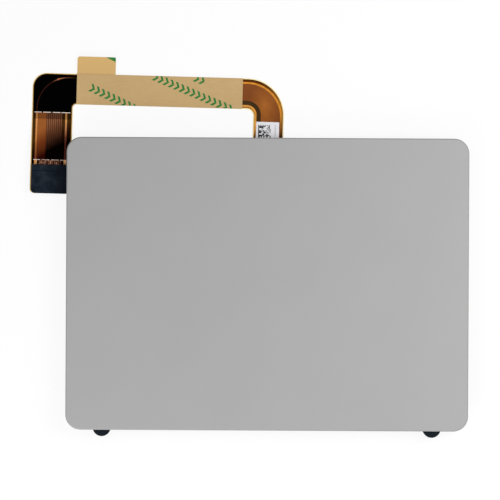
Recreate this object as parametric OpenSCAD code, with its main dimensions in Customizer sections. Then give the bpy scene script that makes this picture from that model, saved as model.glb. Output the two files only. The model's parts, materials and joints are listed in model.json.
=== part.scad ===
// Touchpad module of a notebook computer, loose on a bench and face up.
// A touch glass, a sensor board and a steel frame are bonded into one pad. The pad hangs at its rear
// edge on two leaf springs from a mounting bar, and clicks a switch at its front edge. A flat flex
// cable leaves a locking socket under the pad, runs out at the rear edge and ends in a board plug.
// Millimetres, +Z up. The origin is the middle of the footprint, on the surface that the pad lies on.

/* [Touch glass] */
// Width of the glass, left to right
glass_w = 104.5; // [100:0.5:118]
// Depth of the glass, front to rear
glass_d = 76; // [74:0.5:84]
// Thickness of the glass
glass_t = 0.9; // [0.6:0.05:1.5]
// Corner radius of the glass, seen from above
glass_corner_r = 3.9; // [2.5:0.1:5]
// Width of the polished chamfer along the upper edge
glass_chamfer = 0.25; // [0.1:0.05:0.4]

/* [Sensor board] */
// Thickness of each adhesive sheet
bond_t = 0.1; // [0.05:0.01:0.2]
// Thickness of the sensor board
board_t = 0.7; // [0.5:0.05:1]
// How far the board stays inside the edge of the glass
board_inset = 1; // [0.6:0.1:1.6]

/* [Support frame] */
// Height of the underside of the frame above the surface below
frame_height = 2; // [1.9:0.05:2.6]
// Thickness of the steel frame
frame_t = 0.6; // [0.4:0.05:0.8]
// How far the frame stays inside the left and right edges of the glass
frame_side_inset = 3; // [2:0.1:4]
// How far the frame stays inside the front edge of the glass
frame_front_inset = 1.6; // [1.3:0.1:2]
// Corner radius of the frame
frame_corner_r = 2; // [1:0.1:3]
// Width of each square window in the frame
window_w = 9; // [8:0.25:9.5]
// Distance from one window to the next
window_pitch = 11.5; // [11:0.25:12]
// Corner radius of the windows
window_corner_r = 1.5; // [0.8:0.1:2.5]
// Distance from the middle of the pad to the middle of the first window column
first_window_x = 14; // [13:0.25:15]
// Distance from the front edge of the frame to the middle of the first window row
first_window_y = 7.5; // [7:0.25:8]

/* [Rear hinge] */
// How far the mounting bar stays inside the left and right edges of the glass
bar_side_inset = 6.5; // [4:0.1:8]
// Depth of the mounting bar, front to rear
bar_d = 6; // [5:0.1:6.5]
// Thickness of the mounting bar
bar_t = 1; // [0.8:0.05:1.3]
// How far the bar stays inside the rear edge of the glass
bar_setback = 1.5; // [1:0.1:2.5]
// Width of each leaf spring
leaf_w = 14; // [10:0.5:16]
// Thickness of the leaf springs
leaf_t = 0.15; // [0.1:0.01:0.2]
// Length of the leaf that is free to bend
leaf_free = 3; // [2:0.1:4]
// Length of the leaf that is riveted down at each end
leaf_grip = 4.5; // [4:0.1:4.8]
// Distance between the two rivets of a grip
rivet_span = 8; // [6:0.25:9]
// Radius of the rivet shanks
rivet_r = 0.6; // [0.4:0.05:0.8]
// Radius of the rivet heads
rivet_head_r = 1.1; // [1:0.05:1.4]
// Height of the rivet heads
rivet_head_t = 0.25; // [0.2:0.05:0.4]
// Distance from the end of the bar to the nearest standoff
standoff_inset = 4.5; // [3:0.1:6]
// Distance between the two standoffs beside a leaf
standoff_span = 21; // [20:0.25:24]
// Outer radius of the standoffs below the bar
standoff_r = 1.9; // [1.7:0.05:2.2]
// Radius of the standoff shank that is pressed into the bar
standoff_shank_r = 1.4; // [1.2:0.05:1.5]
// Radius of the threaded bore for the mounting screws
standoff_bore_r = 0.8; // [0.6:0.05:0.9]

/* [Click switch] */
// Distance from the front edge of the glass to the middle of the switch
switch_setback = 8.3; // [8:0.1:9]
// Width of the square switch base
switch_w = 4.6; // [4.2:0.1:5.2]
// Height of the switch base below the board
switch_h = 0.9; // [0.8:0.05:1]
// Thickness of the metal switch cover
switch_cover_t = 0.12; // [0.1:0.01:0.2]
// Radius of the cavity that holds the dome
switch_cavity_r = 1.75; // [1.6:0.05:1.9]
// Depth of that cavity
switch_cavity_d = 0.6; // [0.56:0.02:0.7]
// Thickness of the snap dome
dome_t = 0.06; // [0.04:0.01:0.08]
// Height of the snap dome
dome_h = 0.27; // [0.26:0.01:0.3]
// Radius of the plunger stem
plunger_r = 0.9; // [0.7:0.05:1.1]
// Width of the flange that keeps the plunger in the switch
plunger_lip = 0.35; // [0.25:0.05:0.45]
// How far the plunger stands out of the switch cover
plunger_out = 0.38; // [0.3:0.02:0.5]

/* [Click lever] */
// Width of the lever
lever_w = 7; // [6:0.25:8]
// Thickness of the lever
lever_t = 0.2; // [0.15:0.01:0.25]
// Distance from the bending line of the lever to the click screw
lever_arm = 12; // [11:0.25:13]
// Length of the lever that is riveted under the frame
lever_grip = 5; // [4:0.25:6]
// Length of the slanting part of the lever
lever_slope = 2; // [1.5:0.1:3]
// Gap between the lever and the plunger
lever_gap = 0.15; // [0.1:0.01:0.2]
// Radius of the click screw
screw_r = 0.97; // [0.8:0.01:1.1]
// Height of the lower end of the click screw above the surface below
screw_foot = 0.3; // [0.2:0.02:0.4]
// Gap between the click screw and the plunger
screw_gap = 0.02; // [0.01:0.01:0.04]
// Wall of the threaded bush around the click screw
bush_wall = 0.7; // [0.5:0.05:0.9]
// Thickness of the flange of the bush
bush_flange_t = 0.3; // [0.2:0.02:0.4]
// Width across the corners of the hexagon socket in the click screw
screw_key_w = 1; // [0.8:0.05:1.2]
// Radius of the dog point at the upper end of the click screw
screw_tip_r = 0.5; // [0.3:0.05:0.7]

/* [Bumpers] */
// Radius of the round rubber bumpers
bumper_r = 2.35; // [2:0.05:2.6]
// Distance from the front edge of the glass to the middle of each bumper
bumper_inset = 0.65; // [0.5:0.05:1.1]
// Distance from the side edge of the glass to the middle of each bumper
bumper_side_inset = 9.4; // [7:0.1:12]
// Radius of the bumper neck that snaps into the frame
bumper_neck_r = 1; // [0.8:0.05:1.2]
// Rounding of the outer edges of the bumpers
bumper_round = 0.3; // [0.1:0.05:0.5]
// Gap between the bumpers and the glass above them, and the board around them
bumper_gap = 0.2; // [0.1:0.02:0.3]

/* [Ground gaskets] */
// Width of the conductive foam gaskets
gasket_w = 4; // [3:0.25:5]
// Length of the gaskets
gasket_l = 14; // [8:0.5:20]
// Height of the gaskets
gasket_h = 1; // [0.6:0.05:1.4]

/* [Cable socket] */
// Distance from the rear edge of the glass to the mouth of the socket
socket_setback = 18; // [17.5:0.25:19]
// Height of the socket below the board
socket_h = 1.2; // [1.1:0.05:1.3]
// Width of each side wall of the socket
socket_cheek = 0.9; // [0.8:0.05:1]
// Thickness of the flip latch
latch_t = 0.5; // [0.4:0.02:0.56]
// Length of the flip latch, from its axis to its free edge
latch_l = 1.9; // [1.6:0.05:2]
// Radius of the latch trunnions
latch_pin_r = 0.2; // [0.15:0.01:0.22]
// Number of contacts in the socket
contact_count = 14; // [8:1:14]
// Width of each contact
contact_w = 0.22; // [0.15:0.01:0.26]

/* [Flex cable] */
// Position of the middle of the socket, left to right
cable_x = -0.45; // [-1:0.05:1]
// Angle at which the cable lies, clockwise
cable_tilt = 1.3; // [0:0.1:1.6]
// Thickness of the cable
cable_t = 0.15; // [0.1:0.01:0.2]
// Width of the leg that goes into the socket
cable_leg_w = 8; // [7.4:0.1:8.4]
// Width of the run along the rear edge
cable_run_w = 8; // [7:0.05:8.6]
// Width of the leg that ends in the plug
cable_end_w = 10.7; // [9.5:0.1:11.5]
// Distance between the middles of the two legs
cable_span = 56.3; // [55.5:0.1:60]
// Distance from the socket mouth to the rear edge of the run
cable_reach = 33.4; // [31:0.1:36]
// Distance from the socket mouth to the end of the plug leg
cable_end = 2; // [0:0.1:4]
// Length of the cable inside the socket
cable_tip = 3; // [2.6:0.1:3.2]
// Outer corner radius above the socket leg
cable_outer_r = 9.5; // [6:0.1:10]
// Inner corner radius above the socket leg
cable_inner_r = 1.7; // [1:0.1:3]
// Outer corner radius above the plug leg
end_outer_r = 3.7; // [2:0.1:5]
// Inner corner radius above the plug leg
end_inner_r = 1; // [0.6:0.1:2]
// Corner radius at the end of the plug leg
end_corner_r = 1.2; // [0.6:0.1:1.6]
// Thickness of the stiffener under the cable tip
tip_stiffener_t = 0.15; // [0.1:0.01:0.2]
// Length of the stiffener on the plug end
plug_stiffener_l = 7.5; // [6:0.1:8]
// Thickness of that stiffener
plug_stiffener_t = 0.3; // [0.2:0.02:0.4]
// Length of the board plug
plug_w = 8.6; // [7:0.1:9]
// Width of the board plug
plug_d = 3.2; // [2.6:0.1:4]
// Height of the board plug
plug_h = 0.9; // [0.8:0.05:1.2]
// Number of contacts on each side of the plug
plug_contact_count = 12; // [8:1:14]

/* [Tape and label] */
// Distance from the middle of the socket leg to the right end of the adhesive tape
tape_start = 6.9; // [6.5:0.1:10]
// Length of the adhesive tape
tape_l = 43.2; // [36:0.1:43.4]
// Thickness of the adhesive tape
tape_t = 0.1; // [0.05:0.01:0.15]
// Thickness of the release liner
liner_t = 0.08; // [0.05:0.01:0.12]
// Width of the pull tab of the liner
liner_tab_w = 10; // [6:0.25:14]
// How far the pull tab stands out of the tape
liner_tab_l = 4.5; // [3:0.1:7]
// Corner radius of the pull tab
liner_tab_r = 0.65; // [0.3:0.05:1.2]
// Width of the label
label_w = 6; // [4:0.1:6.5]
// Length of the label
label_l = 7; // [5:0.1:8]
// Distance from the socket mouth to the far end of the label
label_end = 22.2; // [20.5:0.1:23]
// Thickness of the label
label_t = 0.06; // [0.04:0.01:0.1]

/* [Chips] */
// Width of the square touch controller
controller_w = 6.5; // [5:0.1:7]
// Height of the touch controller
controller_h = 0.85; // [0.6:0.05:1]
// Width of the memory chip
memory_w = 5; // [4:0.1:6]
// Depth of the memory chip
memory_d = 4; // [3:0.1:5]
// Height of the memory chip
memory_h = 0.8; // [0.6:0.05:1]
// Width of the square voltage regulator
regulator_w = 3; // [2:0.1:4]
// Height of the voltage regulator
regulator_h = 0.75; // [0.6:0.05:1]
// Width of the clock crystal
crystal_w = 3.2; // [2:0.1:4]
// Depth of the clock crystal
crystal_d = 2.5; // [1.6:0.1:3]
// Height of the clock crystal
crystal_h = 0.7; // [0.5:0.05:0.9]
// Length of the small capacitors and resistors
passive_l = 1; // [0.6:0.1:1.2]
// Width of the small capacitors and resistors
passive_w = 0.5; // [0.3:0.05:0.6]
// Height of the small capacitors and resistors
passive_h = 0.5; // [0.3:0.05:0.6]

/* [Hidden] */
$fn = 48;

// Radial play of pins and shanks in their holes
fit_gap = 0.03;
// Play of parts that turn or slide
run_gap = 0.05;
// Play around a switch or a socket that sits in an opening of the frame
window_gap = 0.6;
notch_gap = 0.3;
// How far the adhesive under the board stays back from the openings of the frame
bond_inset = 0.2;
// Overshoot of cutting tools past the faces they cut
cut = 1;
// Corner radius of the bar and of the leaves
strip_corner_r = 1;

// Plan: the glass is moved to the rear by half of what the bumpers stand out at the front
bumper_reach = bumper_r - bumper_inset;
glass_y = bumper_reach / 2;
front_y = glass_y - glass_d / 2;
rear_y = glass_y + glass_d / 2;

// Heights of the layers, from the surface below to the top of the glass
frame_top = frame_height + frame_t;
board_z = frame_top + bond_t;
board_top = board_z + board_t;
glass_z = board_top + bond_t;

// Rear hinge: bar, then the free length of the leaves, then the frame
leaf_z = frame_height - leaf_t;
bar_z = leaf_z - bar_t;
bar_w = glass_w - 2 * bar_side_inset;
bar_rear_y = rear_y - bar_setback;
bar_front_y = bar_rear_y - bar_d;
bar_y = (bar_front_y + bar_rear_y) / 2;
frame_rear_y = bar_front_y - leaf_free;
leaf_y = (bar_front_y + frame_rear_y) / 2;
standoff_outer_x = bar_w / 2 - standoff_inset;
standoff_inner_x = standoff_outer_x - standoff_span;
leaf_x = (standoff_outer_x + standoff_inner_x) / 2;

// Frame outline and windows
frame_w = glass_w - 2 * frame_side_inset;
frame_front_y = front_y + frame_front_inset;
frame_d = frame_rear_y - frame_front_y;
// Distance from the gaskets to the side edges of the frame and to the windows, and from the small parts to
// the window edges
gasket_margin = 0.8;
gasket_gap = 0.4;
passive_margin = 0.2;
// Whole windows that fit beside the gaskets and in front of the grips of the leaves
side_rail = gasket_margin + gasket_w + gasket_gap;
last_column = floor((frame_w / 2 - side_rail - window_w / 2 - first_window_x) / window_pitch);
last_row = floor((frame_d - leaf_grip - window_w / 2 - first_window_y) / window_pitch);
window_x = [for (i = [0:last_column], side = [-1, 1]) side * (first_window_x + i * window_pitch)];
window_y = [for (i = [0:last_row]) frame_front_y + first_window_y + i * window_pitch];
// The chips sit in the inner windows of the two rear rows
chip_x = first_window_x;
chip_rear_y = window_y[last_row];
chip_front_y = window_y[last_row - 1];

// Bumpers: a ring of the frame, which the bumper covers, goes around the neck
bumper_x = glass_w / 2 - bumper_side_inset;
bumper_y = front_y + bumper_inset;
bumper_top = glass_z - bumper_gap;
bumper_overlap = 0.5;
ear_r = bumper_r - bumper_overlap;
rim_steps = 5;

// Click switch and lever
switch_y = front_y + switch_setback;
cover_z = board_z - switch_h - switch_cover_t;
cavity_top = board_z - switch_h + switch_cavity_d;
plunger_z = cover_z - plunger_out;
// The flange of the plunger fills the cavity up to the crown of the dome, but for a little play
dome_gap = 0.01;
plunger_lip_t = switch_cavity_d - dome_h - dome_gap;
lever_line_y = switch_y + lever_arm;
lever_low = plunger_z - lever_gap - lever_t;
lever_high = frame_height - lever_t;
bush_r = screw_r + fit_gap + bush_wall;
bush_flange_w = 0.5;
// The lever rivets stand this far inside the edges of the lever
rivet_margin = 0.3;
lever_rivet_x = lever_w / 2 - rivet_head_r - rivet_margin;

// Cable socket: a slot for the cable at the rear, a wall, and a bay for the latch at the front
slot_side_gap = 0.2;
slot_end_gap = 0.2;
slot_roof = 0.42;
socket_wall = 0.15;
slot_w = cable_leg_w + 2 * slot_side_gap;
slot_h = cable_t + tip_stiffener_t + run_gap;
slot_d = cable_tip + slot_end_gap;
slot_top = board_z - slot_roof;
// The free edge of the latch stands out by this much, for a fingernail
latch_nail = 0.25;
latch_side_gap = 0.25;
latch_w = slot_w - 2 * latch_side_gap;
bay_d = latch_l - latch_nail + latch_t / 2 + run_gap;
pin_l = 0.5;
socket_w = slot_w + 2 * socket_cheek;
socket_d = slot_d + socket_wall + bay_d;
mouth_y = rear_y - socket_setback;
socket_front_y = mouth_y - socket_d;
socket_z = board_z - socket_h;
latch_z = socket_z + latch_t / 2;
latch_y = socket_front_y + latch_l - latch_nail;
// Contacts of the socket and of the plug: solder tails along an edge, inside a margin at each end
contact_t = 0.12;
contact_l = 0.5;
contact_margin = 0.5;
contact_pitch = (slot_w - 2 * contact_margin) / (contact_count - 1);
plug_contact_margin = 0.7;
plug_contact_pitch = (plug_w - 2 * plug_contact_margin) / (plug_contact_count - 1);

// Flex cable, in its own frame: u to the right and v to the rear, from the mouth of the socket
tip_z = slot_top - run_gap / 2 - cable_t;
run_low = cable_reach - cable_run_w;
split_u = -cable_span / 2;
end_left = -cable_span - cable_end_w / 2;
end_right = -cable_span + cable_end_w / 2;
plug_v = cable_end + plug_stiffener_l / 2;
// The stiffener on the plug end stays this far inside the sides of the cable
plug_stiffener_inset = 0.35;
plug_corner_r = 0.3;
plug_end_wall = 0.6;
plug_side_wall = 0.9;
// The cable stays level for this long past its tip stiffener, past its plug and before its run
tip_level = 1.5;
plug_level = 1.5;
run_level = 2.5;
// The cable is down on the surface this far in front of the bar
bar_clearance = 1;
tip_bend = [tip_level, socket_setback - bar_setback - bar_d - bar_clearance];
plug_bend = [cable_end + plug_stiffener_l + plug_level, run_low - run_level];
bend_steps = 12;
// The tip stiffener ends this far before the bend
tip_stiffener_gap = 0.3;
tape_left = -tape_start - tape_l;
// The label sits a little to the left of the middle of its leg
label_shift = -0.15;

// Height of a bend that runs level into both of its ends
function bend_z(v, span, z0, z1) =
  let (s = min(1, max(0, (v - span[0]) / (span[1] - span[0])))) z0 + (z1 - z0) * s * s * (3 - 2 * s);

// Side view of a sheet of thickness t that bends from height z0 down to z1
function sheet_profile(v0, v1, span, z0, z1, t) =
  let (
    bends = [for (i = [0:bend_steps]) span[0] + (span[1] - span[0]) * i / bend_steps],
    stations = concat([v0], bends, [v1]),
    low = [for (v = stations) [v, bend_z(v, span, z0, z1)]]
  )
  concat(low, [for (i = [len(low) - 1:-1:0]) low[i] + [0, t]]);

// Rectangle with round corners, centred
module rounded_rect(w, d, r) {
  square([w - 2 * r, d], center = true);
  square([w, d - 2 * r], center = true);
  for (x = [-1, 1], y = [-1, 1]) translate([x * (w / 2 - r), y * (d / 2 - r)]) circle(r);
}

// Plate with round corners and a chamfer along its upper edge
module chamfered_plate(w, d, t, r, c) {
  across(r - w / 2, w / 2 - r) chamfered_side(d, t, c);
  rotate(90) across(r - d / 2, d / 2 - r) chamfered_side(w, t, c);
  for (x = [-1, 1], y = [-1, 1])
    translate([x * (w / 2 - r), y * (d / 2 - r), 0])
      rotate_extrude() polygon([[0, 0], [r, 0], [r, t - c], [r - c, t], [0, t]]);
}

// Side view of a plate with its two upper edges chamfered
module chamfered_side(w, t, c) {
  polygon([[-w / 2, 0], [w / 2, 0], [w / 2, t - c], [w / 2 - c, t], [c - w / 2, t], [-w / 2, t - c]]);
}

// Side view drawn in Y and Z, extruded along X from x0 to x1
module across(x0, x1) {
  translate([x0, 0, 0]) rotate([90, 0, 90]) linear_extrude(x1 - x0) children();
}

// Copies on the left and on the right, at distance x from the middle
module mirrored_x(x) {
  for (side = [-1, 1]) translate([side * x, 0, 0]) children();
}

// Frame of the cable: origin at the mouth of the socket, turned by the angle at which it lies
module at_cable() {
  translate([cable_x, mouth_y, 0]) rotate(-cable_tilt) children();
}

// Rear hinge
module mount_bar() {
  color("lightsteelblue")
    difference() {
      translate([0, bar_y, bar_z]) linear_extrude(bar_t) rounded_rect(bar_w, bar_d, strip_corner_r);
      at_standoffs() cylinder(h = frame_height, r = standoff_shank_r + fit_gap);
      at_bar_rivets() cylinder(h = frame_height, r = rivet_r + fit_gap);
    }
}

module at_standoffs() {
  for (x = [standoff_inner_x, standoff_outer_x])
    mirrored_x(x) translate([0, bar_y, 0]) children();
}

module at_bar_rivets() {
  for (x = [-1, 1])
    mirrored_x(leaf_x + x * rivet_span / 2) translate([0, bar_front_y + leaf_grip / 2, 0]) children();
}

module at_frame_rivets() {
  for (x = [-1, 1])
    mirrored_x(leaf_x + x * rivet_span / 2) translate([0, frame_rear_y - leaf_grip / 2, 0]) children();
}

module mount_standoffs() {
  color("silver")
    at_standoffs() difference() {
      union() {
        cylinder(h = bar_z, r = standoff_r);
        cylinder(h = leaf_z, r = standoff_shank_r);
      }
      translate([0, 0, -cut]) cylinder(h = leaf_z + 2 * cut, r = standoff_bore_r);
    }
}

module bar_rivets() {
  color("gainsboro")
    at_bar_rivets() {
      translate([0, 0, bar_z]) cylinder(h = frame_height - bar_z, r = rivet_r);
      translate([0, 0, frame_height]) cylinder(h = rivet_head_t, r = rivet_head_r);
    }
}

module hinge_leaf(side) {
  color("lightgray")
    difference() {
      translate([side * leaf_x, leaf_y, leaf_z])
        linear_extrude(leaf_t) rounded_rect(leaf_w, leaf_free + 2 * leaf_grip, strip_corner_r);
      at_bar_rivets() cylinder(h = frame_top, r = rivet_r + fit_gap);
      at_frame_rivets() cylinder(h = frame_top, r = rivet_r + fit_gap);
    }
}

// Bonded layers of the pad
module touch_glass() {
  color([0.67, 0.67, 0.67])
    translate([0, glass_y, glass_z])
      chamfered_plate(glass_w, glass_d, glass_t, glass_corner_r, glass_chamfer);
}

module board_plan() {
  translate([0, glass_y])
    rounded_rect(glass_w - 2 * board_inset, glass_d - 2 * board_inset, glass_corner_r - board_inset);
}

// Round notches that leave room for the bumpers
module bumper_notches() {
  mirrored_x(bumper_x) translate([0, bumper_y]) circle(bumper_r + bumper_gap);
}

module glass_bond() {
  color("whitesmoke")
    translate([0, 0, board_top]) linear_extrude(bond_t) difference() {
      board_plan();
      bumper_notches();
    }
}

module sensor_board() {
  color([0.08, 0.1, 0.09])
    translate([0, 0, board_z]) linear_extrude(board_t) difference() {
      board_plan();
      bumper_notches();
    }
}

// Outline of the frame without its ears. The windows, the switch opening and the notch for the socket and
// the cable, which runs out at the rear, are cut out and grown by the same amount on each side.
module frame_plan(grow) {
  switch_opening = switch_w + 2 * (window_gap + grow);
  notch_w = socket_w + 2 * (notch_gap + grow);
  notch_y = socket_front_y - window_gap - grow;
  difference() {
    translate([0, (frame_rear_y + frame_front_y) / 2]) rounded_rect(frame_w, frame_d, frame_corner_r);
    for (x = window_x, y = window_y)
      translate([x, y]) rounded_rect(window_w + 2 * grow, window_w + 2 * grow, window_corner_r);
    translate([cable_x - notch_w / 2, notch_y]) square([notch_w, frame_d]);
    translate([0, switch_y]) square(switch_opening, center = true);
  }
}

module frame_bond() {
  color("whitesmoke")
    translate([0, 0, frame_top]) linear_extrude(bond_t) difference() {
      frame_plan(bond_inset);
      bumper_notches();
    }
}

module support_frame() {
  color("silver")
    difference() {
      translate([0, 0, frame_height]) linear_extrude(frame_t) {
        frame_plan(0);
        mirrored_x(bumper_x) translate([0, bumper_y]) circle(ear_r);
      }
      mirrored_x(bumper_x) translate([0, bumper_y, 0]) cylinder(h = glass_z, r = bumper_neck_r + fit_gap);
      at_frame_rivets() cylinder(h = glass_z, r = rivet_r + fit_gap);
      at_lever_rivets() cylinder(h = glass_z, r = rivet_r + fit_gap);
    }
}

module frame_rivets() {
  color("gainsboro") at_frame_rivets() under_rivet(leaf_z);
}

// Rivet with its head under a sheet whose lower face is at z, and its shank up through the frame
module under_rivet(z) {
  translate([0, 0, z - rivet_head_t]) cylinder(h = rivet_head_t, r = rivet_head_r);
  translate([0, 0, z]) cylinder(h = frame_top - z, r = rivet_r);
}

module ground_gaskets() {
  color("dimgray")
    mirrored_x(frame_w / 2 - gasket_w / 2 - gasket_margin)
      translate([-gasket_w / 2, glass_y - gasket_l / 2, frame_height - gasket_h])
        cube([gasket_w, gasket_l, gasket_h]);
}

// Two round flanges and a neck, turned from one profile
module bumper(side) {
  profile = concat(
    [[0, 0]], round_rim(0, frame_height),
    [[bumper_neck_r, frame_height], [bumper_neck_r, frame_top]],
    round_rim(frame_top, bumper_top), [[0, bumper_top]]
  );
  color([0.05, 0.06, 0.08]) translate([side * bumper_x, bumper_y, 0]) rotate_extrude() polygon(profile);
}

// Outer edge of a bumper flange from z0 to z1, rounded in small steps and never past a third of its height
function round_rim(z0, z1) =
  let (r = min(bumper_round, (z1 - z0) / 3))
  concat(
    [for (i = [0:rim_steps]) rim_point(z0 + r, r, 90 * i / rim_steps - 90)],
    [for (i = [0:rim_steps]) rim_point(z1 - r, r, 90 * i / rim_steps)]
  );

function rim_point(z, r, angle) = [bumper_r - r + r * cos(angle), z + r * sin(angle)];

// Parts under the board
module under_board(x, y, w, d, h) {
  translate([x - w / 2, y - d / 2, board_z - h]) cube([w, d, h]);
}

module touch_controller() {
  color([0.1, 0.1, 0.11]) under_board(-chip_x, chip_rear_y, controller_w, controller_w, controller_h);
}

module memory_chip() {
  color([0.12, 0.12, 0.12]) under_board(chip_x, chip_rear_y, memory_w, memory_d, memory_h);
}

module regulator_chip() {
  color([0.12, 0.12, 0.12]) under_board(chip_x, chip_front_y, regulator_w, regulator_w, regulator_h);
}

module clock_crystal() {
  color("silver") under_board(-chip_x, chip_front_y, crystal_w, crystal_d, crystal_h);
}

// A row of small parts on two sides of each chip
module chip_passives() {
  passive_pitch = 2 * passive_l;
  edge = window_w / 2 - passive_w / 2 - passive_margin;
  color([0.55, 0.45, 0.35])
    for (x = [-chip_x, chip_x], y = [chip_front_y, chip_rear_y], side = [-1, 1], i = [-1:1])
      under_board(x + i * passive_pitch, y + side * edge, passive_l, passive_w, passive_h);
}

module cable_socket() {
  color("ivory")
    difference() {
      translate([cable_x - socket_w / 2, socket_front_y, socket_z]) cube([socket_w, socket_d, socket_h]);
      // Slot for the cable, open at the rear
      translate([cable_x - slot_w / 2, mouth_y - slot_d, slot_top - slot_h])
        cube([slot_w, slot_d + cut, slot_h]);
      // Bay for the latch, open at the front and below
      translate([cable_x - slot_w / 2, socket_front_y - cut, socket_z - cut])
        cube([slot_w, bay_d + cut, latch_t + run_gap + cut]);
      latch_axis(latch_pin_r + fit_gap, slot_w / 2 + pin_l);
    }
}

// Round bar on the axis of the latch, half_l to each side
module latch_axis(r, half_l) {
  translate([cable_x - half_l, latch_y, latch_z]) rotate([0, 90, 0]) cylinder(h = 2 * half_l, r = r);
}

module socket_latch() {
  color([0.15, 0.13, 0.12]) {
    translate([cable_x - latch_w / 2, latch_y - latch_l, socket_z]) cube([latch_w, latch_l, latch_t]);
    latch_axis(latch_t / 2, latch_w / 2);
    latch_axis(latch_pin_r, slot_w / 2 + pin_l - run_gap);
  }
}

module socket_contacts() {
  color("gold")
    for (i = [0:contact_count - 1])
      translate([
        cable_x + (i - (contact_count - 1) / 2) * contact_pitch - contact_w / 2,
        socket_front_y - contact_l, board_z - contact_t
      ]) cube([contact_w, contact_l, contact_t]);
}

// Click switch
module switch_base() {
  color([0.1, 0.1, 0.1])
    difference() {
      under_board(0, switch_y, switch_w, switch_w, switch_h);
      translate([0, switch_y, cover_z]) cylinder(h = cavity_top - cover_z, r = switch_cavity_r);
    }
}

module switch_cover() {
  color("silver")
    translate([0, switch_y, cover_z]) linear_extrude(switch_cover_t) difference() {
      square(switch_w, center = true);
      circle(plunger_r + run_gap);
    }
}

// Shallow cap with its rim against the roof of the cavity and its crown towards the plunger
module switch_dome() {
  rim_r = switch_cavity_r - run_gap;
  ball_r = (rim_r * rim_r + dome_h * dome_h) / (2 * dome_h);
  color("lightgray")
    intersection() {
      translate([0, switch_y, cavity_top - dome_h + ball_r]) difference() {
        sphere(ball_r);
        sphere(ball_r - dome_t);
      }
      translate([0, switch_y, cavity_top - dome_h - cut]) cylinder(h = dome_h + cut, r = rim_r);
    }
}

module switch_plunger() {
  color([0.75, 0.2, 0.15])
    translate([0, switch_y, plunger_z]) {
      cylinder(h = plunger_out + switch_cover_t + plunger_lip_t, r = plunger_r);
      translate([0, 0, plunger_out + switch_cover_t])
        cylinder(h = plunger_lip_t, r = plunger_r + plunger_lip);
    }
}

// Click lever with its screw
module click_lever() {
  slope_end_y = lever_line_y - lever_slope;
  tip_y = switch_y - lever_w / 2;
  color("lightsteelblue")
    difference() {
      intersection() {
        across(-lever_w / 2, lever_w / 2) polygon([
          [lever_line_y + lever_grip, lever_high], [lever_line_y, lever_high],
          [slope_end_y, lever_low], [tip_y, lever_low],
          [tip_y, lever_low + lever_t], [slope_end_y, lever_low + lever_t],
          [lever_line_y, frame_height], [lever_line_y + lever_grip, frame_height]
        ]);
        union() {
          translate([-lever_w / 2, switch_y, 0]) cube([lever_w, lever_arm + lever_grip, frame_top]);
          translate([0, switch_y, 0]) cylinder(h = frame_top, r = lever_w / 2);
        }
      }
      translate([0, switch_y, 0]) cylinder(h = frame_top, r = bush_r + fit_gap);
      at_lever_rivets() cylinder(h = glass_z, r = rivet_r + fit_gap);
    }
}

module at_lever_rivets() {
  mirrored_x(lever_rivet_x) translate([0, lever_line_y + lever_grip / 2, 0]) children();
}

module lever_rivets() {
  color("gainsboro") at_lever_rivets() under_rivet(lever_high);
}

module screw_bush() {
  color("goldenrod")
    translate([0, switch_y, lever_low]) difference() {
      union() {
        cylinder(h = lever_t, r = bush_r);
        translate([0, 0, -bush_flange_t]) cylinder(h = bush_flange_t, r = bush_r + bush_flange_w);
      }
      translate([0, 0, -cut]) cylinder(h = lever_t + 2 * cut, r = screw_r + fit_gap);
    }
}

module click_screw() {
  screw_top = plunger_z - screw_gap;
  screw_l = screw_top - screw_foot;
  color([0.2, 0.2, 0.22])
    translate([0, switch_y, screw_foot]) difference() {
      union() {
        cylinder(h = screw_l - lever_gap, r = screw_r);
        cylinder(h = screw_l, r = screw_tip_r);
      }
      translate([0, 0, -cut]) cylinder(h = cut + screw_l / 2, r = screw_key_w / 2, $fn = 6);
    }
}

// Flex cable: its outline from above, cut out of a sheet that bends in the side view
module flex_cable() {
  color([0.55, 0.33, 0.12])
    at_cable() {
      intersection() {
        linear_extrude(glass_z) socket_leg_plan();
        across(split_u - cut, cable_leg_w) polygon(
          sheet_profile(-cable_tip, cable_reach + cut, tip_bend, tip_z, 0, cable_t));
      }
      intersection() {
        linear_extrude(glass_z) plug_leg_plan();
        across(end_left - cut, split_u + cut) polygon(
          sheet_profile(cable_end - cut, cable_reach + cut, plug_bend, plug_h, 0, cable_t));
      }
    }
}

// Right half of the cable: the leg into the socket and half of the run
module socket_leg_plan() {
  side = cable_leg_w / 2;
  difference() {
    union() {
      translate([-side, -cable_tip]) square([cable_leg_w, cable_reach + cable_tip]);
      translate([split_u, run_low]) square([side - split_u, cable_run_w]);
      translate([-side - cable_inner_r, run_low - cable_inner_r]) fillet(cable_inner_r);
    }
    translate([side - cable_outer_r, cable_reach - cable_outer_r]) fillet(cable_outer_r, cut);
  }
}

// Left half of the cable: half of the run and the leg that ends in the plug
module plug_leg_plan() {
  difference() {
    union() {
      translate([end_left, cable_end]) square([cable_end_w, cable_reach - cable_end]);
      translate([end_left, run_low]) square([split_u - end_left, cable_run_w]);
      translate([end_right + end_inner_r, run_low - end_inner_r]) mirror([1, 0]) fillet(end_inner_r);
    }
    translate([end_left + end_outer_r, cable_reach - end_outer_r]) mirror([1, 0]) fillet(end_outer_r, cut);
    translate([end_left + end_corner_r, cable_end + end_corner_r]) rotate(180) fillet(end_corner_r, cut);
    translate([end_right - end_corner_r, cable_end + end_corner_r]) mirror([0, 1]) fillet(end_corner_r, cut);
  }
}

// What lies between a square corner and an arc of radius r, grown past the corner by extra
module fillet(r, extra = 0) {
  difference() {
    square(r + extra);
    circle(r);
  }
}

module tip_stiffener() {
  color("khaki")
    at_cable() translate([-cable_leg_w / 2, -cable_tip, tip_z - tip_stiffener_t])
      cube([cable_leg_w, cable_tip + tip_level - tip_stiffener_gap, tip_stiffener_t]);
}

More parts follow.
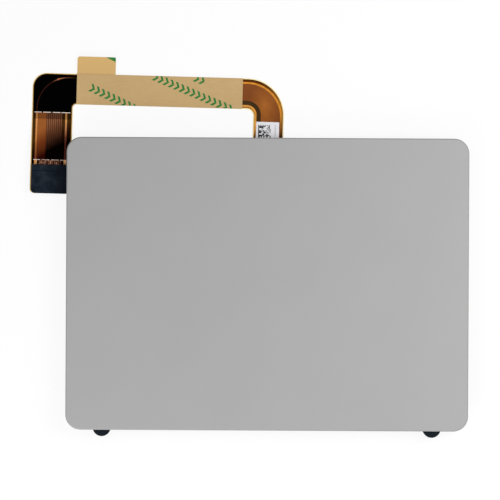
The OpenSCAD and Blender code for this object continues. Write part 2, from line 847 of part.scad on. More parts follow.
// Stiffener on the plug end, with round corners at the end of the cable only
module plug_stiffener() {
  w = cable_end_w - 2 * plug_stiffener_inset;
  color([0.1, 0.13, 0.17])
    at_cable() translate([-cable_span, plug_v, plug_h + cable_t]) linear_extrude(plug_stiffener_t) {
      rounded_rect(w, plug_stiffener_l, end_corner_r);
      translate([-w / 2, 0]) square([w, plug_stiffener_l / 2]);
    }
}

module cable_plug() {
  color([0.08, 0.08, 0.08])
    at_cable() translate([-cable_span, plug_v, 0]) difference() {
      linear_extrude(plug_h) rounded_rect(plug_w, plug_d, plug_corner_r);
      // Groove that takes the tongue of the socket on the computer's board
      translate([0, 0, -cut]) linear_extrude(cut + plug_h / 2)
        square([plug_w - 2 * plug_end_wall, plug_d - 2 * plug_side_wall], center = true);
    }
}

module plug_contacts() {
  color("gold")
    at_cable() translate([-cable_span, plug_v, 0])
      for (side = [-1, 1], i = [0:plug_contact_count - 1])
        translate([
          (i - (plug_contact_count - 1) / 2) * plug_contact_pitch - contact_w / 2,
          side * (plug_d + contact_l) / 2 - contact_l / 2, plug_h - contact_t
        ]) cube([contact_w, contact_l, contact_t]);
}

module adhesive_tape() {
  color([0.9, 0.9, 0.86])
    at_cable() translate([tape_left, run_low, cable_t]) cube([tape_l, cable_run_w, tape_t]);
}

module release_liner() {
  color([0.77, 0.65, 0.45])
    at_cable() translate([tape_left, run_low, cable_t + tape_t]) linear_extrude(liner_t) {
      square([tape_l, cable_run_w]);
      square([liner_tab_w, cable_run_w + liner_tab_l - liner_tab_r]);
      translate([liner_tab_r, 0]) square([liner_tab_w - 2 * liner_tab_r, cable_run_w + liner_tab_l]);
      for (x = [liner_tab_r, liner_tab_w - liner_tab_r])
        translate([x, cable_run_w + liner_tab_l - liner_tab_r]) circle(liner_tab_r);
    }
}

module cable_label() {
  color("white")
    at_cable() translate([label_shift - label_w / 2, label_end - label_l, cable_t])
      cube([label_w, label_l, label_t]);
}

mount_bar();
mount_standoffs();
bar_rivets();
hinge_leaf(-1);  // hinge_leaf_left
hinge_leaf(1);  // hinge_leaf_right
touch_glass();
glass_bond();
sensor_board();
frame_bond();
support_frame();
frame_rivets();
touch_controller();
memory_chip();
regulator_chip();
clock_crystal();
chip_passives();
cable_socket();
socket_contacts();
socket_latch();
switch_base();
switch_cover();
switch_dome();
switch_plunger();
click_lever();
lever_rivets();
screw_bush();
click_screw();
bumper(-1);  // bumper_left
bumper(1);  // bumper_right
ground_gaskets();
flex_cable();
tip_stiffener();
plug_stiffener();
cable_plug();
plug_contacts();
adhesive_tape();
release_liner();
cable_label();
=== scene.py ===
"""Looks of a loose touchpad module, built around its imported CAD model.

The scene is in metres, +Z up. The cable, its liner and its label are drawn in the cable's own frame, in
millimetres: u runs to the right and v to the rear, from the middle of the socket's mouth.
"""

import json
import math
import random

import bmesh
import bpy
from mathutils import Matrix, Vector


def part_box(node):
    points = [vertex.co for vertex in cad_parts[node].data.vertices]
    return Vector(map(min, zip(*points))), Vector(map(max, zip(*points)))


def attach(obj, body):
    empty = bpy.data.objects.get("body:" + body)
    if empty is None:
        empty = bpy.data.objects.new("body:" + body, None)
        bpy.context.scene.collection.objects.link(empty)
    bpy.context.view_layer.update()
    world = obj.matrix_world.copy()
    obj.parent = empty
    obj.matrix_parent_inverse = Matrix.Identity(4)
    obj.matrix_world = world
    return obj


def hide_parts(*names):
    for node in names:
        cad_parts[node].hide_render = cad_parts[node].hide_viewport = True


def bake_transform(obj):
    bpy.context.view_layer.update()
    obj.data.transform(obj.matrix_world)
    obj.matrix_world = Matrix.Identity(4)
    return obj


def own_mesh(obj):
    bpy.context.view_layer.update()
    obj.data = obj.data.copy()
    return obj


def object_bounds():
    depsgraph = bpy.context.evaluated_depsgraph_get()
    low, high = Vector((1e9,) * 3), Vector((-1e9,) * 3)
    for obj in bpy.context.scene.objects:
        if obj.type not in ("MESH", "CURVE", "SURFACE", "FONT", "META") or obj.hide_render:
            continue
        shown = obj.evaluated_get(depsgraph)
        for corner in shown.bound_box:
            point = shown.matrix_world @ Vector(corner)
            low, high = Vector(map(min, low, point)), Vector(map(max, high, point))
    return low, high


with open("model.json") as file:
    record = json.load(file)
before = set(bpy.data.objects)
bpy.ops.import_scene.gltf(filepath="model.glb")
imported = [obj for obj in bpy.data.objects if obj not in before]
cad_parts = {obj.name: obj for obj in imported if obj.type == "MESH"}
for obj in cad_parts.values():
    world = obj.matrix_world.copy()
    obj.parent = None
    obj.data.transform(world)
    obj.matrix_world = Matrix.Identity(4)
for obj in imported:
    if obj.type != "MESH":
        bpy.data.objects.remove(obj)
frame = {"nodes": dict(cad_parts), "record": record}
cad_low, cad_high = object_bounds()

MM = 0.001

# Photograph: the side of its frame, its scale at the glass, the middle of the glass in it, and its roll
PHOTO_SIDE_PX = 500
PHOTO_PX_PER_MM = 3.855
GLASS_MIDDLE_PX = (267.35, 284.2)
PHOTO_ROLL = math.radians(0.3)
LENS_MM = 300.0
SENSOR_MM = 36.0
CLIP_RATIO = 100

# Cable route, as in the part's source
CABLE_TILT = math.radians(1.3)
FILM_T = 0.15
LEG_HALF = 4.0
TIP_V = -3.0
RUN_LOW = 25.4
RUN_HIGH = 33.4
END_LEFT = -61.65
END_RIGHT = -50.95
END_V = 2.0
SPLIT_U = -28.15
TIP_BEND = (1.5, 9.5)
TIP_RISE = 2.105
PLUG_BEND = (11.0, 22.9)
PLUG_RISE = 0.9
OUTER_R = 9.5
INNER_R = 1.7
END_OUTER_R = 3.7
END_INNER_R = 1.0
END_CORNER_R = 1.2
OUTER_CENTRE = (LEG_HALF - OUTER_R, RUN_HIGH - OUTER_R)
INNER_CENTRE = (-LEG_HALF - INNER_R, RUN_LOW - INNER_R)
END_OUTER_CENTRE = (END_LEFT + END_OUTER_R, RUN_HIGH - END_OUTER_R)
END_INNER_CENTRE = (END_RIGHT + END_INNER_R, RUN_LOW - END_INNER_R)

# Tape, liner and label, as in the part's source
TAPE_LEFT = -50.1
TAPE_RIGHT = -6.9
TAPE_TOP = 0.25
LINER_T = 0.08
TAB_RIGHT = -40.1
TAB_HIGH = 37.9
TAB_R = 0.65
LABEL_LEFT = -3.15
LABEL_RIGHT = 2.85
LABEL_LOW = 15.2
LABEL_HIGH = 22.2
LABEL_T = 0.06

# Places on the plug leg: where the shield and the cover film begin, and where the lines below it end
SHIELD_V = 23.15
COVER_V = 21.3
UNDER_LINE_END = 8.0

# Where the mouth of the socket is, from the frame
socket_low, socket_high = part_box("cable_socket")
MOUTH_X = (socket_low.x + socket_high.x) / 2
MOUTH_Y = socket_high.y

# Longest step between points along a line on the cable, and a length that counts as none
POINT_STEP = 0.6
TOLERANCE = 0.001


def spread(start, end, steps):
    """Evenly spaced values from start to end, both included."""
    return [start + (end - start) * i / steps for i in range(steps + 1)]


def arc(centre, radius, start_deg, end_deg, steps=18):
    """Points along an arc."""
    angles = [math.radians(a) for a in spread(start_deg, end_deg, steps)]
    return [(centre[0] + radius * math.cos(a), centre[1] + radius * math.sin(a)) for a in angles]


def between(a, b, share):
    """The point at a share of the way between two points."""
    return (a[0] + (b[0] - a[0]) * share, a[1] + (b[1] - a[1]) * share)


def resampled(points, steps):
    """Evenly spaced points along a polyline, one more than steps."""
    lengths = [math.dist(a, b) for a, b in zip(points, points[1:])]
    made = []
    for want in spread(0.0, sum(lengths), steps):
        i = 0
        while i < len(lengths) - 1 and want > lengths[i]:
            want -= lengths[i]
            i += 1
        made.append(between(points[i], points[i + 1], min(1.0, want / lengths[i])))
    return made


def densified(points):
    """The same polyline with points at most a step apart."""
    made = [points[0]]
    for a, b in zip(points, points[1:]):
        count = max(1, math.ceil(math.dist(a, b) / POINT_STEP))
        made += [between(a, b, i / count) for i in range(1, count + 1)]
    return made


def place(u, v, z):
    """A point of the cable's frame as a point of the scene."""
    x = u * math.cos(CABLE_TILT) + v * math.sin(CABLE_TILT)
    y = v * math.cos(CABLE_TILT) - u * math.sin(CABLE_TILT)
    return Vector((MOUTH_X + x * MM, MOUTH_Y + y * MM, z * MM))


def film_low(u, v):
    """Height of the underside of the cable."""
    bend, rise = (TIP_BEND, TIP_RISE) if u > SPLIT_U else (PLUG_BEND, PLUG_RISE)
    s = min(1.0, max(0.0, (v - bend[0]) / (bend[1] - bend[0])))
    return rise * (1 - s * s * (3 - 2 * s))


def raised(heights, lift):
    """Heights that lie above others by lift."""
    return lambda u, v: heights(u, v) + lift


film_top = raised(film_low, FILM_T)
label_top = raised(film_top, LABEL_T)


def add_object(name, data):
    """New object in the scene."""
    made = bpy.data.objects.new(name, data)
    bpy.context.scene.collection.objects.link(made)
    return made


# Camera, light and floor
WHITE = (1.0, 1.0, 1.0, 1.0)
SKY_LIGHT = 0.5
FLOOR_COLOUR = (0.94, 0.94, 0.94, 1.0)
FLOOR_SIDE = 4.0
FLOOR_DROP = 0.02 * MM
SHADOW_SHARE = 0.14
LAMP_SIDE = 0.16
# Name, place and watts of each lamp
LAMPS = [("lamp_right", (0.20, 0.04, 0.18), 0.43), ("lamp_left", (-0.15, -0.25, 0.12), 0.66)]


def make_camera():
    """Camera straight above the object, framed as the photograph."""
    glass_low, glass_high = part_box("touch_glass")
    right = Vector((math.cos(PHOTO_ROLL), math.sin(PHOTO_ROLL), 0.0))
    up = Vector((-math.sin(PHOTO_ROLL), math.cos(PHOTO_ROLL), 0.0))
    px = MM / PHOTO_PX_PER_MM
    across = (PHOTO_SIDE_PX / 2 - GLASS_MIDDLE_PX[0]) * px
    along = (GLASS_MIDDLE_PX[1] - PHOTO_SIDE_PX / 2) * px
    aim = (glass_low + glass_high) / 2 + across * right + along * up
    distance = PHOTO_SIDE_PX * px * LENS_MM / SENSOR_MM
    data = bpy.data.cameras.new("camera")
    data.lens = LENS_MM
    data.sensor_width = SENSOR_MM
    data.clip_start = distance / CLIP_RATIO
    data.clip_end = distance * CLIP_RATIO
    camera = add_object("camera", data)
    camera.location = (aim.x, aim.y, glass_high.z + distance)
    camera.rotation_euler = (0.0, 0.0, PHOTO_ROLL)
    bpy.context.scene.camera = camera


def node(tree, kind, inputs=None, **settings):
    """A shader node with its settings, and its inputs set or linked."""
    made = tree.nodes.new("ShaderNode" + kind)
    for key, value in settings.items():
        setattr(made, key, value)
    for key, value in (inputs or {}).items():
        if isinstance(value, bpy.types.NodeSocket):
            tree.links.new(value, made.inputs[key])
        else:
            made.inputs[key].default_value = value
    return made


def math_node(tree, operation, *values):
    """Output of a Math node."""
    return node(tree, "Math", dict(enumerate(values)), operation=operation).outputs[0]


def seen_rays(tree):
    """1 for rays that come from the camera, a mirror or glass, and 0 for those that only bring light."""
    path = node(tree, "LightPath").outputs
    mirror = math_node(tree, "MAXIMUM", path["Is Glossy Ray"], path["Is Transmission Ray"])
    return math_node(tree, "MAXIMUM", path["Is Camera Ray"], mirror)


def mixed_surface(tree, output, factor, first, second):
    """Two shaders mixed by a factor, as the surface of an output node."""
    mixed = node(tree, "MixShader", {0: factor, 1: first.outputs[0], 2: second.outputs[0]})
    node(tree, output, {"Surface": mixed.outputs[0]})


def make_sky():
    """Even white sky: it lights at a plain level, and is seen as white."""
    world = bpy.data.worlds.new("sky")
    world.use_nodes = True
    tree = world.node_tree
    tree.nodes.clear()
    light = node(tree, "Background", {"Color": WHITE, "Strength": SKY_LIGHT})
    seen = node(tree, "Background", {"Color": WHITE, "Strength": 1.0})
    mixed_surface(tree, "OutputWorld", seen_rays(tree), light, seen)
    bpy.context.scene.world = world


def make_floor():
    """Pale floor under the object. It is seen as white, but for a share that keeps the object's shadow."""
    half = FLOOR_SIDE / 2
    z = cad_low.z - FLOOR_DROP
    corners = [(-half, -half, z), (half, -half, z), (half, half, z), (-half, half, z)]
    mesh = bpy.data.meshes.new("floor")
    mesh.from_pydata(corners, [], [(0, 1, 2, 3)])
    material = bpy.data.materials.new("floor_white")
    material.use_nodes = True
    tree = material.node_tree
    tree.nodes.clear()
    lit = node(tree, "BsdfDiffuse", {"Color": FLOOR_COLOUR})
    white = node(tree, "Emission", {"Color": WHITE, "Strength": 1.0})
    share = math_node(tree, "MULTIPLY", seen_rays(tree), 1.0 - SHADOW_SHARE)
    mixed_surface(tree, "OutputMaterial", share, lit, white)
    mesh.materials.append(material)
    floor = add_object("floor", mesh)


def make_lamps():
    """Square soft boxes aimed at the middle of the object."""
    for name, location, watts in LAMPS:
        data = bpy.data.lights.new(name, "AREA")
        data.energy = watts
        data.size = LAMP_SIDE
        lamp = add_object(name, data)
        lamp.location = location
        lamp.rotation_euler = (-Vector(location)).to_track_quat("-Z", "Y").to_euler()


make_camera()
make_sky()
make_floor()
make_lamps()
bpy.context.scene.view_settings.view_transform = "Standard"


# Materials. Their colours are written as display values of 0 to 255
def linear(colour, gain=1.0):
    """Linear colour from a display colour, made darker or lighter by gain."""
    shares = [value / 255 for value in colour]
    levels = [s / 12.92 if s <= 0.04045 else ((s + 0.055) / 1.055) ** 2.4 for s in shares]
    return tuple(min(1.0, level * gain) for level in levels) + (1.0,)


# The range that most of a noise lies in, and a noise that isn't drawn out
NOISE_LOW = 0.3
NOISE_HIGH = 0.7
EVEN = (1.0, 1.0, 1.0)
# Scale of the faint relief of film over copper
FILM_GRAIN = 2500.0


class Look:
    """A material in the making, with its shader and the piece's own coordinates."""

    def __init__(self, name, rough, metallic=0.0, specular=0.5):
        self.name = name
        self.material = bpy.data.materials.new(name)
        self.material.use_nodes = True
        self.tree = self.material.node_tree
        self.shader = self.tree.nodes["Principled BSDF"]
        inputs = {"Roughness": rough, "Metallic": metallic, "Specular IOR Level": specular}
        for key, value in inputs.items():
            self.shader.inputs[key].default_value = value
        self.where = self.out("TexCoord", "Object")

    def link(self, key, value):
        """Links a value to an input of the shader."""
        self.tree.links.new(value, self.shader.inputs[key])

    def surface(self, colour, height=None, strength=0.2, depth_mm=0.01):
        """Gives it a colour and a fine relief, by default that of film over copper."""
        height = self.noise(FILM_GRAIN) if height is None else height
        inputs = {"Height": height, "Strength": strength, "Distance": depth_mm * MM}
        self.link("Base Color", colour)
        self.link("Normal", self.out("Bump", "Normal", inputs))
        return self

    def out(self, kind, key, inputs=None, **settings):
        """One output of a new node."""
        return node(self.tree, kind, inputs, **settings).outputs[key]

    def calc(self, operation, *values, kind="Math", key=0):
        """Output of a Math or Vector Math node."""
        return self.out(kind, key, dict(enumerate(values)), operation=operation)

    def coordinate(self, axis, kind="Object"):
        """One of the piece's own coordinates, or of its coordinates of another kind."""
        return self.out("SeparateXYZ", axis, {"Vector": self.out("TexCoord", kind)})

    def along_cable(self):
        """Distance from the mouth of the socket along the legs of the cable."""
        direction = (math.sin(CABLE_TILT), math.cos(CABLE_TILT), 0.0)
        reach = self.calc("DOT_PRODUCT", self.where, direction, kind="VectorMath", key="Value")
        return self.calc("SUBTRACT", reach, MOUTH_X * direction[0] + MOUTH_Y * direction[1])

    def noise(self, scale, detail=4.0, stretch=EVEN):
        """Noise from 0 to 1, drawn out by stretch."""
        moved = self.out("Mapping", "Vector", {"Vector": self.where, "Scale": stretch})
        return self.out("TexNoise", "Fac", {"Vector": moved, "Scale": scale, "Detail": detail})

    def wave(self, direction, scale, distortion=0.0):
        """Even bands from 0 to 1 across a direction."""
        inputs = {"Vector": self.where, "Scale": scale, "Distortion": distortion}
        return self.out("TexWave", "Fac", inputs, bands_direction=direction)

    def ranged(self, value, low, high, to_low=0.0, to_high=1.0):
        """A value mapped from one range to another, and held at its ends."""
        inputs = {"Value": value, 1: low, 2: high, 3: to_low, 4: to_high}
        return self.out("MapRange", 0, inputs, clamp=True)

    def spots(self, scale, most):
        """Soft spots from 0 to most."""
        return self.ranged(self.noise(scale), 0.35, 0.65, 0.0, most)

    def blend(self, first, second, share):
        """Sum of a share of one factor and the rest of another."""
        rest = self.calc("MULTIPLY", second, 1 - share)
        return self.calc("ADD", self.calc("MULTIPLY", first, share), rest)

    def mixed(self, factor, first, second):
        """Two colours mixed by a factor."""
        return self.out("MixRGB", "Color", {"Fac": factor, "Color1": first, "Color2": second})

    def ramp(self, factor, stops):
        """Colour from a factor, by stops of (position, linear colour)."""
        made = node(self.tree, "ValToRGB", {"Fac": factor})
        elements = made.color_ramp.elements
        while len(elements) < len(stops):
            elements.new(0.5)
        for element, (position, colour) in zip(elements, stops):
            element.position = position
            element.color = colour
        return made.outputs["Color"]

    def shades(self, factor, colours, low=NOISE_LOW, high=NOISE_HIGH):
        """Colours spread evenly over a range of a factor."""
        places = spread(low, high, len(colours) - 1)
        return self.ramp(factor, [(at, linear(colour)) for at, colour in zip(places, colours)])

    def tinted(self, factor, colour, tint):
        """A colour that gets darker and lighter by tint over the range of a noise."""
        places, gains = spread(NOISE_LOW, NOISE_HIGH, 2), spread(1 - tint, 1 + tint, 2)
        return self.ramp(factor, [(at, linear(colour, gain)) for at, gain in zip(places, gains)])

    def graded(self, length, stops, gain=1.0):
        """Colour from a length, by stops of {millimetres: colour}."""
        low, high = min(stops), max(stops)
        places = [((at - low) / (high - low), linear(colour, gain)) for at, colour in stops.items()]
        return self.ramp(self.ranged(length, low * MM, high * MM), places)


# How much the gloss of a plain surface varies
UNEVEN = 0.12


def plain(name, colour, rough, metallic=0.0, specular=0.5, tint=0.12, patch=260.0, grain=4000.0,
          depth_mm=0.02, stretch=EVEN):
    """Patchy colour, uneven gloss and a fine grain, which may be drawn out as on brushed metal."""
    look = Look(name, rough, metallic, specular)
    fine = look.noise(grain, 3.0, stretch)
    both = look.blend(look.noise(patch), fine, 0.5)
    look.link("Roughness", look.ranged(both, NOISE_LOW, NOISE_HIGH, rough - UNEVEN, rough + UNEVEN))
    return look.surface(look.tinted(both, colour, tint), fine, 0.3, depth_mm)


def metal(name, colour, rough, **settings):
    """Plain surface of bare metal."""
    return plain(name, colour, rough, metallic=1.0, **settings)


def board_look():
    """Black solder mask over fine rows of copper, which stand out a little."""
    look = Look("board_laminate", 0.42, specular=0.35)
    rows = look.calc("MAXIMUM", look.wave("X", 160.0), look.wave("Y", 160.0))
    lines = look.ranged(rows, 0.86, 0.93)
    dark = look.shades(look.noise(500.0), [(22, 27, 25), (32, 39, 35)])
    return look.surface(look.mixed(lines, dark, linear((46, 56, 49))), lines, 0.5, 0.02)


# Small ceramic parts: their pitch along X, and how far from their middle the tin ends fade in
PASSIVE_PITCH = 2.0 * MM
TIN_SPAN = (0.26 * MM, 0.3 * MM)


def ceramic_look():
    """Small parts with a tan body and tin ends, in rows of one pitch."""
    look = Look("chip_ceramic", 0.4)
    local = look.calc("WRAP", look.coordinate("X"), -PASSIVE_PITCH / 2, PASSIVE_PITCH / 2)
    ends = look.ranged(look.calc("ABSOLUTE", local), *TIN_SPAN)
    body = look.shades(look.noise(3000.0), [(120, 98, 74), (150, 124, 94)])
    tin = look.shades(look.noise(5000.0), [(165, 165, 162), (205, 205, 202)])
    look.link("Metallic", ends)
    return look.surface(look.mixed(ends, body, tin), look.noise(9000.0))


# How upright the normal of the glass is on its chamfer, and where the chamfer ends. The chamfer gets
# painted shade
CHAMFER_PAINTED_SHADE_SLOPE = (0.75, 0.98)


def glass_look():
    """Etched grey glass with a very fine grain. Its chamfer is darker with painted shade."""
    look = Look("grey_glass", 0.5, specular=0.4)
    grain = look.noise(9000.0)
    both = look.blend(look.noise(60.0), grain, 0.6)
    grey = look.shades(both, [(161, 161, 161), (164, 164, 164)])
    # Painted shade on the chamfer, by how upright its normal is
    chamfer = look.ranged(look.coordinate("Z", "Normal"), *CHAMFER_PAINTED_SHADE_SLOPE, 1.0, 0.0)
    look.link("Roughness", look.ranged(both, NOISE_LOW, NOISE_HIGH, 0.45, 0.55))
    return look.surface(look.mixed(chamfer, grey, linear((141, 141, 141))), grain, 0.3, 0.004)


# Painted highlight of the film, inside the bend next to the label: its place, its oval and its fade
PAINTED_HIGHLIGHT_SPOT = (-1.0 * MM, 46.1 * MM, 0.0)
PAINTED_HIGHLIGHT_OVAL = (1.1, 0.6, 1.0)
PAINTED_HIGHLIGHT_SPAN = (0.5 * MM, 4.5 * MM)
PAINTED_HIGHLIGHT_FALLOFF = 0.82


def film_look():
    """Amber film over solid copper, with a painted highlight where the cable bends."""
    look = Look("flex_film", 0.4, specular=0.04)
    streaks = look.noise(1500.0, 3.0, (0.4, 0.4, 1.0))
    both = look.blend(look.noise(260.0), streaks, 0.6)
    brown = look.shades(both, [(151, 87, 35), (163, 96, 40), (175, 106, 46)])
    offset = look.calc("SUBTRACT", look.where, PAINTED_HIGHLIGHT_SPOT, kind="VectorMath")
    oval = look.calc("MULTIPLY", offset, PAINTED_HIGHLIGHT_OVAL, kind="VectorMath")
    away = look.calc("LENGTH", oval, kind="VectorMath", key="Value")
    # The film gets darker away from the painted highlight
    shade = look.ranged(away, *PAINTED_HIGHLIGHT_SPAN, 0.0, PAINTED_HIGHLIGHT_FALLOFF)
    return look.surface(look.mixed(shade, brown, linear((120, 66, 33))), streaks, 0.25, 0.01)


def shielded_line_look():
    """Copper line under the black shield, by stops along X. It catches the light where it bends."""
    look = Look("copper_line_shielded", 0.35, specular=0.02)
    stops = {-60.7: (42, 16, 10), -56.2: (54, 22, 15), -54.07: (165, 106, 70), -52.78: (94, 53, 34),
             -50.0: (14, 7, 5)}
    return look.surface(look.graded(look.coordinate("X"), stops))


def leg_look(name, stops):
    """Copper or film along the leg beside the label, by stops of distance from the socket."""
    look = Look(name, 0.35, specular=0.04)
    # In each use, the dark stop at 18 mm is painted shade where the cable runs under the glass
    colour = look.graded(look.along_cable(), stops)
    return look.surface(look.mixed(look.spots(900.0, 0.25), colour, linear(stops[min(stops)])))


def rim_look(name, left, right):
    """Bare film at the edge of the cable, with one colour on the plug leg and another near the socket."""
    look = Look(name, 0.3, specular=0.1)
    # The pale rim colours are the film's own amber with painted light shining through it
    share = look.ranged(look.coordinate("X"), END_RIGHT * MM, TAPE_RIGHT * MM)
    both = look.mixed(share, linear(left), linear(right))
    return look.surface(look.mixed(look.spots(700.0, 0.2), both, linear(left, 0.7)))


def speckled(name, scale, *colours):
    """Strong speckle of several colours."""
    look = Look(name, 0.4, specular=0.1)
    spots = look.noise(scale)
    return look.surface(look.shades(spots, colours, 0.4, 0.6), spots, 0.3, 0.01)


def weave_look():
    """Metallised fabric: two sets of crossing threads."""
    look = Look("gasket_fabric", 0.45, metallic=0.6)
    threads = look.calc("MULTIPLY", look.wave("X", 1300.0, 0.4), look.wave("Y", 1300.0, 0.4))
    lit = look.blend(threads, look.noise(400.0), 0.7)
    grey = look.shades(lit, [(92, 93, 96), (124, 125, 128), (150, 150, 153)], 0.1, 0.9)
    return look.surface(grey, threads, 0.5, 0.02)


# Crease of the pull tab: the blur between its two papers, its half width and its shade
TAB_BLUR = 0.1 * MM
CREASE_HALF = 0.25 * MM
CREASE_SHADE = 0.35


def paper_look(name, colour, fleck, tab_colour=None):
    """Paper with fine fibres. A pull tab may have a colour of its own, past a faint crease."""
    look = Look(name, 0.68, specular=0.2)
    fibres = look.noise(1600.0, 6.0, (0.35, 1.0, 1.0))
    paper = look.tinted(look.blend(fibres, look.noise(60.0, 3.0), 0.5), colour, fleck)
    if tab_colour:
        past = look.calc("SUBTRACT", look.along_cable(), RUN_HIGH * MM)
        paper = look.mixed(look.ranged(past, -TAB_BLUR, TAB_BLUR), paper, linear(tab_colour))
        crease = look.ranged(look.calc("ABSOLUTE", past), 0.0, CREASE_HALF, CREASE_SHADE, 0.0)
        paper = look.mixed(crease, paper, linear(colour, 0.6))
    return look.surface(paper, fibres, 0.25, 0.02)


# The fade on the plug leg is a painted reflection and slants: a place on the left lies higher on its scale
# than one on the right
PAINTED_FADE_SLOPE = 0.55
PAINTED_FADE_WOBBLE = 0.8 * MM
COVER_BLUR = 0.2


def copper_with_painted_fade(name, cover, stops, gain=1.0):
    """Copper under amber film on the plug leg, by stops of height on the slanted scale. Its fade is a
    painted
    reflection: it darkens towards the lower right. A cover film takes a share of the light off its upper
    end."""
    look = Look(name, 0.4, specular=0.0)
    slant = look.calc("MULTIPLY", look.coordinate("X"), PAINTED_FADE_SLOPE)
    height = look.calc("SUBTRACT", look.coordinate("Y"), slant)
    wobble = look.calc("MULTIPLY", look.noise(500.0), PAINTED_FADE_WOBBLE)
    copper = look.graded(look.calc("ADD", height, wobble), stops, gain)
    covered = look.ranged(look.along_cable(), COVER_V * MM, (COVER_V + COVER_BLUR) * MM, 0.0, cover)
    return look.surface(look.mixed(covered, copper, linear((4, 2, 1))))


# Navy stiffener: the line across it and the fade of its edge, and where along X it gets darker
NAVY_LINE_V = 7.9
NAVY_LINE_FADE = (0.08 * MM, 0.2 * MM)
NAVY_DARK_SPAN = (-56.5 * MM, -53.0 * MM)


def stiffener_look():
    """Dark laminate with cloudy patches and one faint line across."""
    look = Look("stiffener_navy", 0.5, specular=0.03)
    both = look.blend(look.noise(420.0), look.noise(2600.0), 0.7)
    navy = look.shades(both, [(10, 17, 26), (26, 33, 42), (44, 48, 58)])
    off = look.calc("ABSOLUTE", look.calc("SUBTRACT", look.along_cable(), NAVY_LINE_V * MM))
    line = look.ranged(off, *NAVY_LINE_FADE, 0.7, 0.0)
    shade = look.ranged(look.coordinate("X"), *NAVY_DARK_SPAN, 0.0, 0.6)
    navy = look.mixed(look.calc("MAXIMUM", line, shade), navy, linear((8, 14, 21)))
    return look.surface(navy, both, 0.3, 0.03)


# Grain drawn out along X, along Y, or around a turned part
BRUSHED_X = (0.05, 1.0, 1.0)
BRUSHED_Y = (1.0, 0.05, 1.0)
TURNED = (1.0, 1.0, 8.0)

# Looks of the slots of the record
LOOKS = {look.name: look for look in (
    metal("bar_steel", (176, 178, 180), 0.36, tint=0.1, stretch=BRUSHED_X),
    metal("standoff_steel", (190, 189, 186), 0.3, tint=0.06, stretch=TURNED, depth_mm=0.005),
    metal("rivet_steel", (196, 196, 196), 0.34, tint=0.06, depth_mm=0.005),
    metal("spring_steel", (188, 187, 183), 0.26, tint=0.08, stretch=BRUSHED_Y),
    metal("frame_steel", (170, 172, 174), 0.4, stretch=BRUSHED_X),
    metal("cover_steel", (200, 199, 196), 0.32, tint=0.07, stretch=BRUSHED_X),
    metal("screw_steel", (70, 70, 74), 0.4, tint=0.2),
    metal("contact_gold", (226, 186, 110), 0.25, tint=0.1),
    metal("bush_brass", (205, 172, 108), 0.3, tint=0.1, stretch=TURNED),
    glass_look(),
    plain("clear_adhesive", (220, 219, 212), 0.3, tint=0.05),
    board_look(),
    ceramic_look(),
    plain("chip_resin", (42, 42, 43), 0.55, tint=0.2, grain=7000.0, depth_mm=0.03),
    plain("socket_plastic", (222, 215, 195), 0.5, tint=0.06, grain=6000.0),
    plain("latch_plastic", (52, 47, 43), 0.5, tint=0.15, grain=6000.0),
    plain("black_plastic", (32, 32, 34), 0.5, specular=0.3, tint=0.2, grain=6000.0),
    plain("plunger_plastic", (178, 66, 52), 0.45, tint=0.1, grain=6000.0),
    plain("bumper_rubber", (20, 28, 34), 0.6, specular=0.06, tint=0.3, grain=3000.0, depth_mm=0.03),
    weave_look(),
    film_look(),
    plain("stiffener_amber", (188, 137, 58), 0.35, tint=0.1),
    stiffener_look(),
    paper_look("liner_paper", (199, 167, 117), 0.06, (212, 174, 113)),
    paper_look("label_paper", (247, 246, 250), 0.03),
)}

# Looks of the film's own parts: rims, cover films, shield and glints
# The pale rims are the film's own amber with painted light that shines through it from below
FILM_EDGE = rim_look("film_edge", (250, 236, 198), (255, 236, 176))
FILM_RIM = rim_look("film_rim", (176, 130, 58), (240, 176, 84))
# Dark film of the plug leg, with the same painted reflection fade to black
FILM_DARK = copper_with_painted_fade("film_dark", 0.6, {66.8: (4, 2, 0), 69.8: (42, 20, 6), 72.0: (70, 44, 16)})
# Film brown of the dark wedge: its dark stop at 18 mm is painted shade under the glass edge, and it is
# darker again at its upper end
EDGE_BROWN = leg_look("film_brown", {18.0: (46, 28, 6), 23.0: (164, 104, 30), 26.5: (182, 120, 40),
                                     32.0: (88, 44, 4)})
BAND = plain("film_band", (66, 46, 25), 0.4, specular=0.04, patch=500.0)
UNDER_LINE = plain("film_under_line", (172, 108, 52), 0.35, specular=0.1, patch=500.0)
SHIELD = plain("shield_black", (2, 2, 2), 0.3, specular=0.0, tint=0.4, patch=300.0)
GLINT = plain("film_edge_glint", (232, 218, 206), 0.35, tint=0.2, patch=900.0)
GLINT_LOW = speckled("film_edge_glint_low", 600.0, (158, 134, 120), (200, 178, 162), (226, 210, 200))

# Looks of the copper under the film. The stripes and the field under them fade together, in one painted
# reflection
FIELD_PAINTED_FADE = {67.0: (4, 2, 1), 68.8: (42, 22, 14), 71.4: (82, 48, 30), 74.0: (114, 72, 48)}
FIELD = copper_with_painted_fade("film_field", 0.55, FIELD_PAINTED_FADE, 0.7)
STRIPES = copper_with_painted_fade("copper_stripes", 0.55, FIELD_PAINTED_FADE, 1.75)
POUR = copper_with_painted_fade("copper_pour", 0.44, {66.6: (46, 8, 4), 70.7: (119, 58, 25), 73.8: (158, 92, 44)})
FIRST_COPPER = copper_with_painted_fade("copper_line_first", 0.42, {67.6: (126, 66, 38), 70.4: (160, 98, 50),
                                                         72.5: (208, 132, 68), 76.6: (230, 156, 88)})
SECOND_COPPER = copper_with_painted_fade("copper_line_second", 0.44, {66.4: (82, 38, 32), 68.3: (115, 64, 42),
                                                           70.3: (185, 122, 80), 72.4: (216, 154, 88)})
